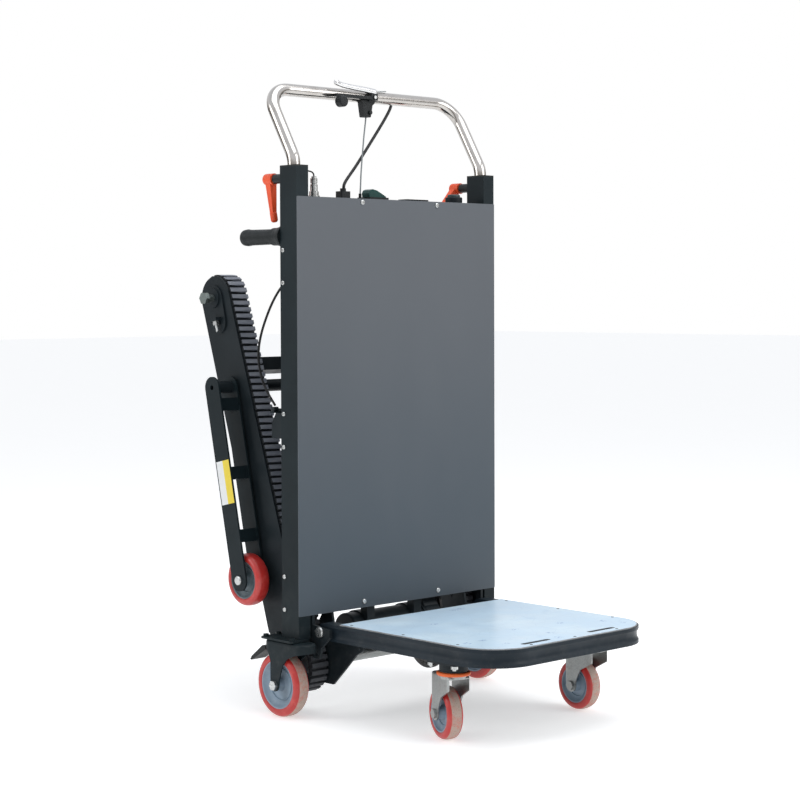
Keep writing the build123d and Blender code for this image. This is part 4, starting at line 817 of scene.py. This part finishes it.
def make_wire_loop():
    """Pointed loop of spring wire lying on the bar beside the brake lever's clamp."""
    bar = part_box("handle_tube")[1]
    y = bar.y - 16 * MM
    z = bar.z + 1.4 * MM
    x = JOINTS["brake_lever_pull"]["pos_m"][0] + 9 * MM
    bends = ((0, 4, -1), (14, 4.5, 0), (32, 2.5, 1), (40, 0, 1), (32, -3, 0), (14, -6, -2), (0, -7, -4))
    points = [(x + dx * MM, y + dy * MM, z + dz * MM) for dx, dy, dz in bends]
    sweep_tube("bar_wire_loop", smooth_path(points, 8), 1.1 * MM, ZINC, "handle", 12)


STICKER_X = -300.0 * MM
STICKER_THICK = 0.35 * MM
STICKER_START = 150 * MM
STICKER_END = 238 * MM


def make_arm_sticker():
    """Plain two-colour sticker on the outer bar of the left arm."""
    pivot = Vector(JOINTS["arm_swing"]["pos_m"])
    axle = Vector(JOINTS["arm_wheel_left_spin"]["pos_m"])
    along = Vector((0, axle.y - pivot.y, axle.z - pivot.z)).normalized()
    across = Vector((0, -along.z, along.y))
    parts = (("label_white_part", -1 * MM, 19 * MM, LABEL_WHITE),
             ("label_yellow_part", -21 * MM, -1 * MM, LABEL_YELLOW))
    for name, b0, b1, material in parts:
        corners = []
        for depth in (0.0, -STICKER_THICK):
            for a, b in ((STICKER_START, b0), (STICKER_END, b0), (STICKER_END, b1), (STICKER_START, b1)):
                point = Vector((STICKER_X + depth, pivot.y, pivot.z)) + along * a + across * b
                corners.append(point)
        faces = [(0, 1, 2, 3), (4, 5, 6, 7), (0, 1, 5, 4), (1, 2, 6, 5), (2, 3, 7, 6), (3, 0, 4, 7)]
        new_object(name, corners, faces, [material], "arms")


# ---------------------------------------------------------------- stage
def aim(obj, target):
    direction = Vector(target) - obj.location
    obj.rotation_euler = direction.to_track_quat("-Z", "Y").to_euler()


def area_light(name, place, target, size, power, colour=(1, 1, 1)):
    data = bpy.data.lights.new(name, "AREA")
    data.shape = "SQUARE"
    data.size = size
    data.energy = power
    data.color = colour
    light = put_in_scene(name, data)
    light.location = place
    aim(light, target)


FLOOR_HALF = 30.0
FLOOR_GLOW = 0.46


def make_stage():
    """Pale floor, the surroundings and three soft lights."""
    mesh = bpy.data.meshes.new("floor")
    corners = [(x * FLOOR_HALF, y * FLOOR_HALF, 0) for x, y in ((-1, -1), (1, -1), (1, 1), (-1, 1))]
    mesh.from_pydata(corners, [], [(0, 1, 2, 3)])
    floor = put_in_scene("floor", mesh)
    s = Shader("studio_floor", (0.80, 0.80, 0.80, 1.0), 0.8, Emission_Strength=FLOOR_GLOW)
    s.bsdf.inputs["Emission Color"].default_value = (1.0, 1.0, 1.0, 1.0)
    s.gloss(s.noise(3.0, 2.0), 0.75, 0.9)
    mesh.materials.append(s.material)
    make_world()
    middle = (0, 0, 0.6)
    area_light("key", (1.8, -3.4, 2.6), middle, 2.4, 60)
    area_light("overhead", (0.2, -0.6, 3.4), (0, 0, 0.3), 2.6, 45)
    area_light("back_left", (-3.0, 1.6, 2.0), middle, 1.6, 24)


def make_world():
    """White to the camera, even light on matt faces, and a graded room for the metals to mirror."""
    world = bpy.data.worlds.new("studio")
    bpy.context.scene.world = world
    world.use_nodes = True
    nodes, links = world.node_tree.nodes, world.node_tree.links
    place = nodes.new("ShaderNodeTexCoord")
    split = nodes.new("ShaderNodeSeparateXYZ")
    links.new(place.outputs["Generated"], split.inputs["Vector"])
    room = nodes.new("ShaderNodeValToRGB")
    rise = nodes.new("ShaderNodeMapRange")
    rise.inputs["From Min"].default_value = -1.0
    links.new(split.outputs["Z"], rise.inputs["Value"])
    links.new(rise.outputs["Result"], room.inputs["Fac"])
    stops = ((0.0, (0.30, 0.28, 0.26)), (0.42, (0.22, 0.20, 0.18)), (0.50, (0.10, 0.09, 0.085)),
             (0.56, (0.42, 0.40, 0.38)), (0.66, (0.95, 0.96, 1.0)), (1.0, (0.80, 0.84, 0.90)))
    band = room.color_ramp.elements
    while len(band) < len(stops):
        band.new(0.5)
    for element, (where, colour) in zip(band, stops):
        element.position = where
        element.color = colour + (1.0,)
    even = background(nodes, (0.93, 0.96, 1.0), 0.60)
    mirrored = background(nodes, (1, 1, 1), 1.0)
    links.new(room.outputs["Color"], mirrored.inputs["Color"])
    seen = background(nodes, (1, 1, 1), 1.0)
    path = nodes.new("ShaderNodeLightPath")
    first = nodes.new("ShaderNodeMixShader")
    links.new(path.outputs["Is Glossy Ray"], first.inputs["Fac"])
    links.new(even.outputs["Background"], first.inputs[1])
    links.new(mirrored.outputs["Background"], first.inputs[2])
    last = nodes.new("ShaderNodeMixShader")
    links.new(path.outputs["Is Camera Ray"], last.inputs["Fac"])
    links.new(first.outputs["Shader"], last.inputs[1])
    links.new(seen.outputs["Background"], last.inputs[2])
    links.new(last.outputs["Shader"], nodes["World Output"].inputs["Surface"])


def background(nodes, colour, strength):
    node = nodes.new("ShaderNodeBackground")
    node.inputs["Color"].default_value = tuple(colour) + (1.0,)
    node.inputs["Strength"].default_value = strength
    return node


CAMERA_PLACE = (-2.6968, -2.7867, 0.8269)
CAMERA_TURN = 43.37
CAMERA_DROP = 1.79
CAMERA_ROLL = -0.2
CAMERA_LENS = 86.71
CAMERA_SHIFT = (-0.0009, -0.0545)
CAMERA_SENSOR = 36.0


def make_camera():
    data = bpy.data.cameras.new("camera")
    camera = put_in_scene("camera", data)
    turn, drop, roll = (math.radians(v) for v in (-CAMERA_TURN, CAMERA_DROP, CAMERA_ROLL))
    ahead = Vector((-math.sin(turn) * math.cos(drop), math.cos(turn) * math.cos(drop), -math.sin(drop)))
    right = ahead.cross(Vector((0, 0, 1))).normalized()
    up = right.cross(ahead)
    right, up = right * math.cos(roll) + up * math.sin(roll), up * math.cos(roll) - right * math.sin(roll)
    camera.matrix_world = Matrix.Translation(CAMERA_PLACE) @ Matrix((right, up, -ahead)).transposed().to_4x4()
    data.lens = CAMERA_LENS
    data.sensor_width = CAMERA_SENSOR
    data.shift_x, data.shift_y = CAMERA_SHIFT
    data.clip_end = 100.0
    bpy.context.scene.camera = camera


finish_cad_nodes()
paint_lugs()
make_wheels()
make_film()
paint_casters()
paint_arm_bolts()
paint_small_heads()
make_cables()
make_brake_lever()
make_wire_loop()
make_arm_sticker()
make_stage()
make_camera()
bpy.context.scene.view_settings.view_transform = "Standard"
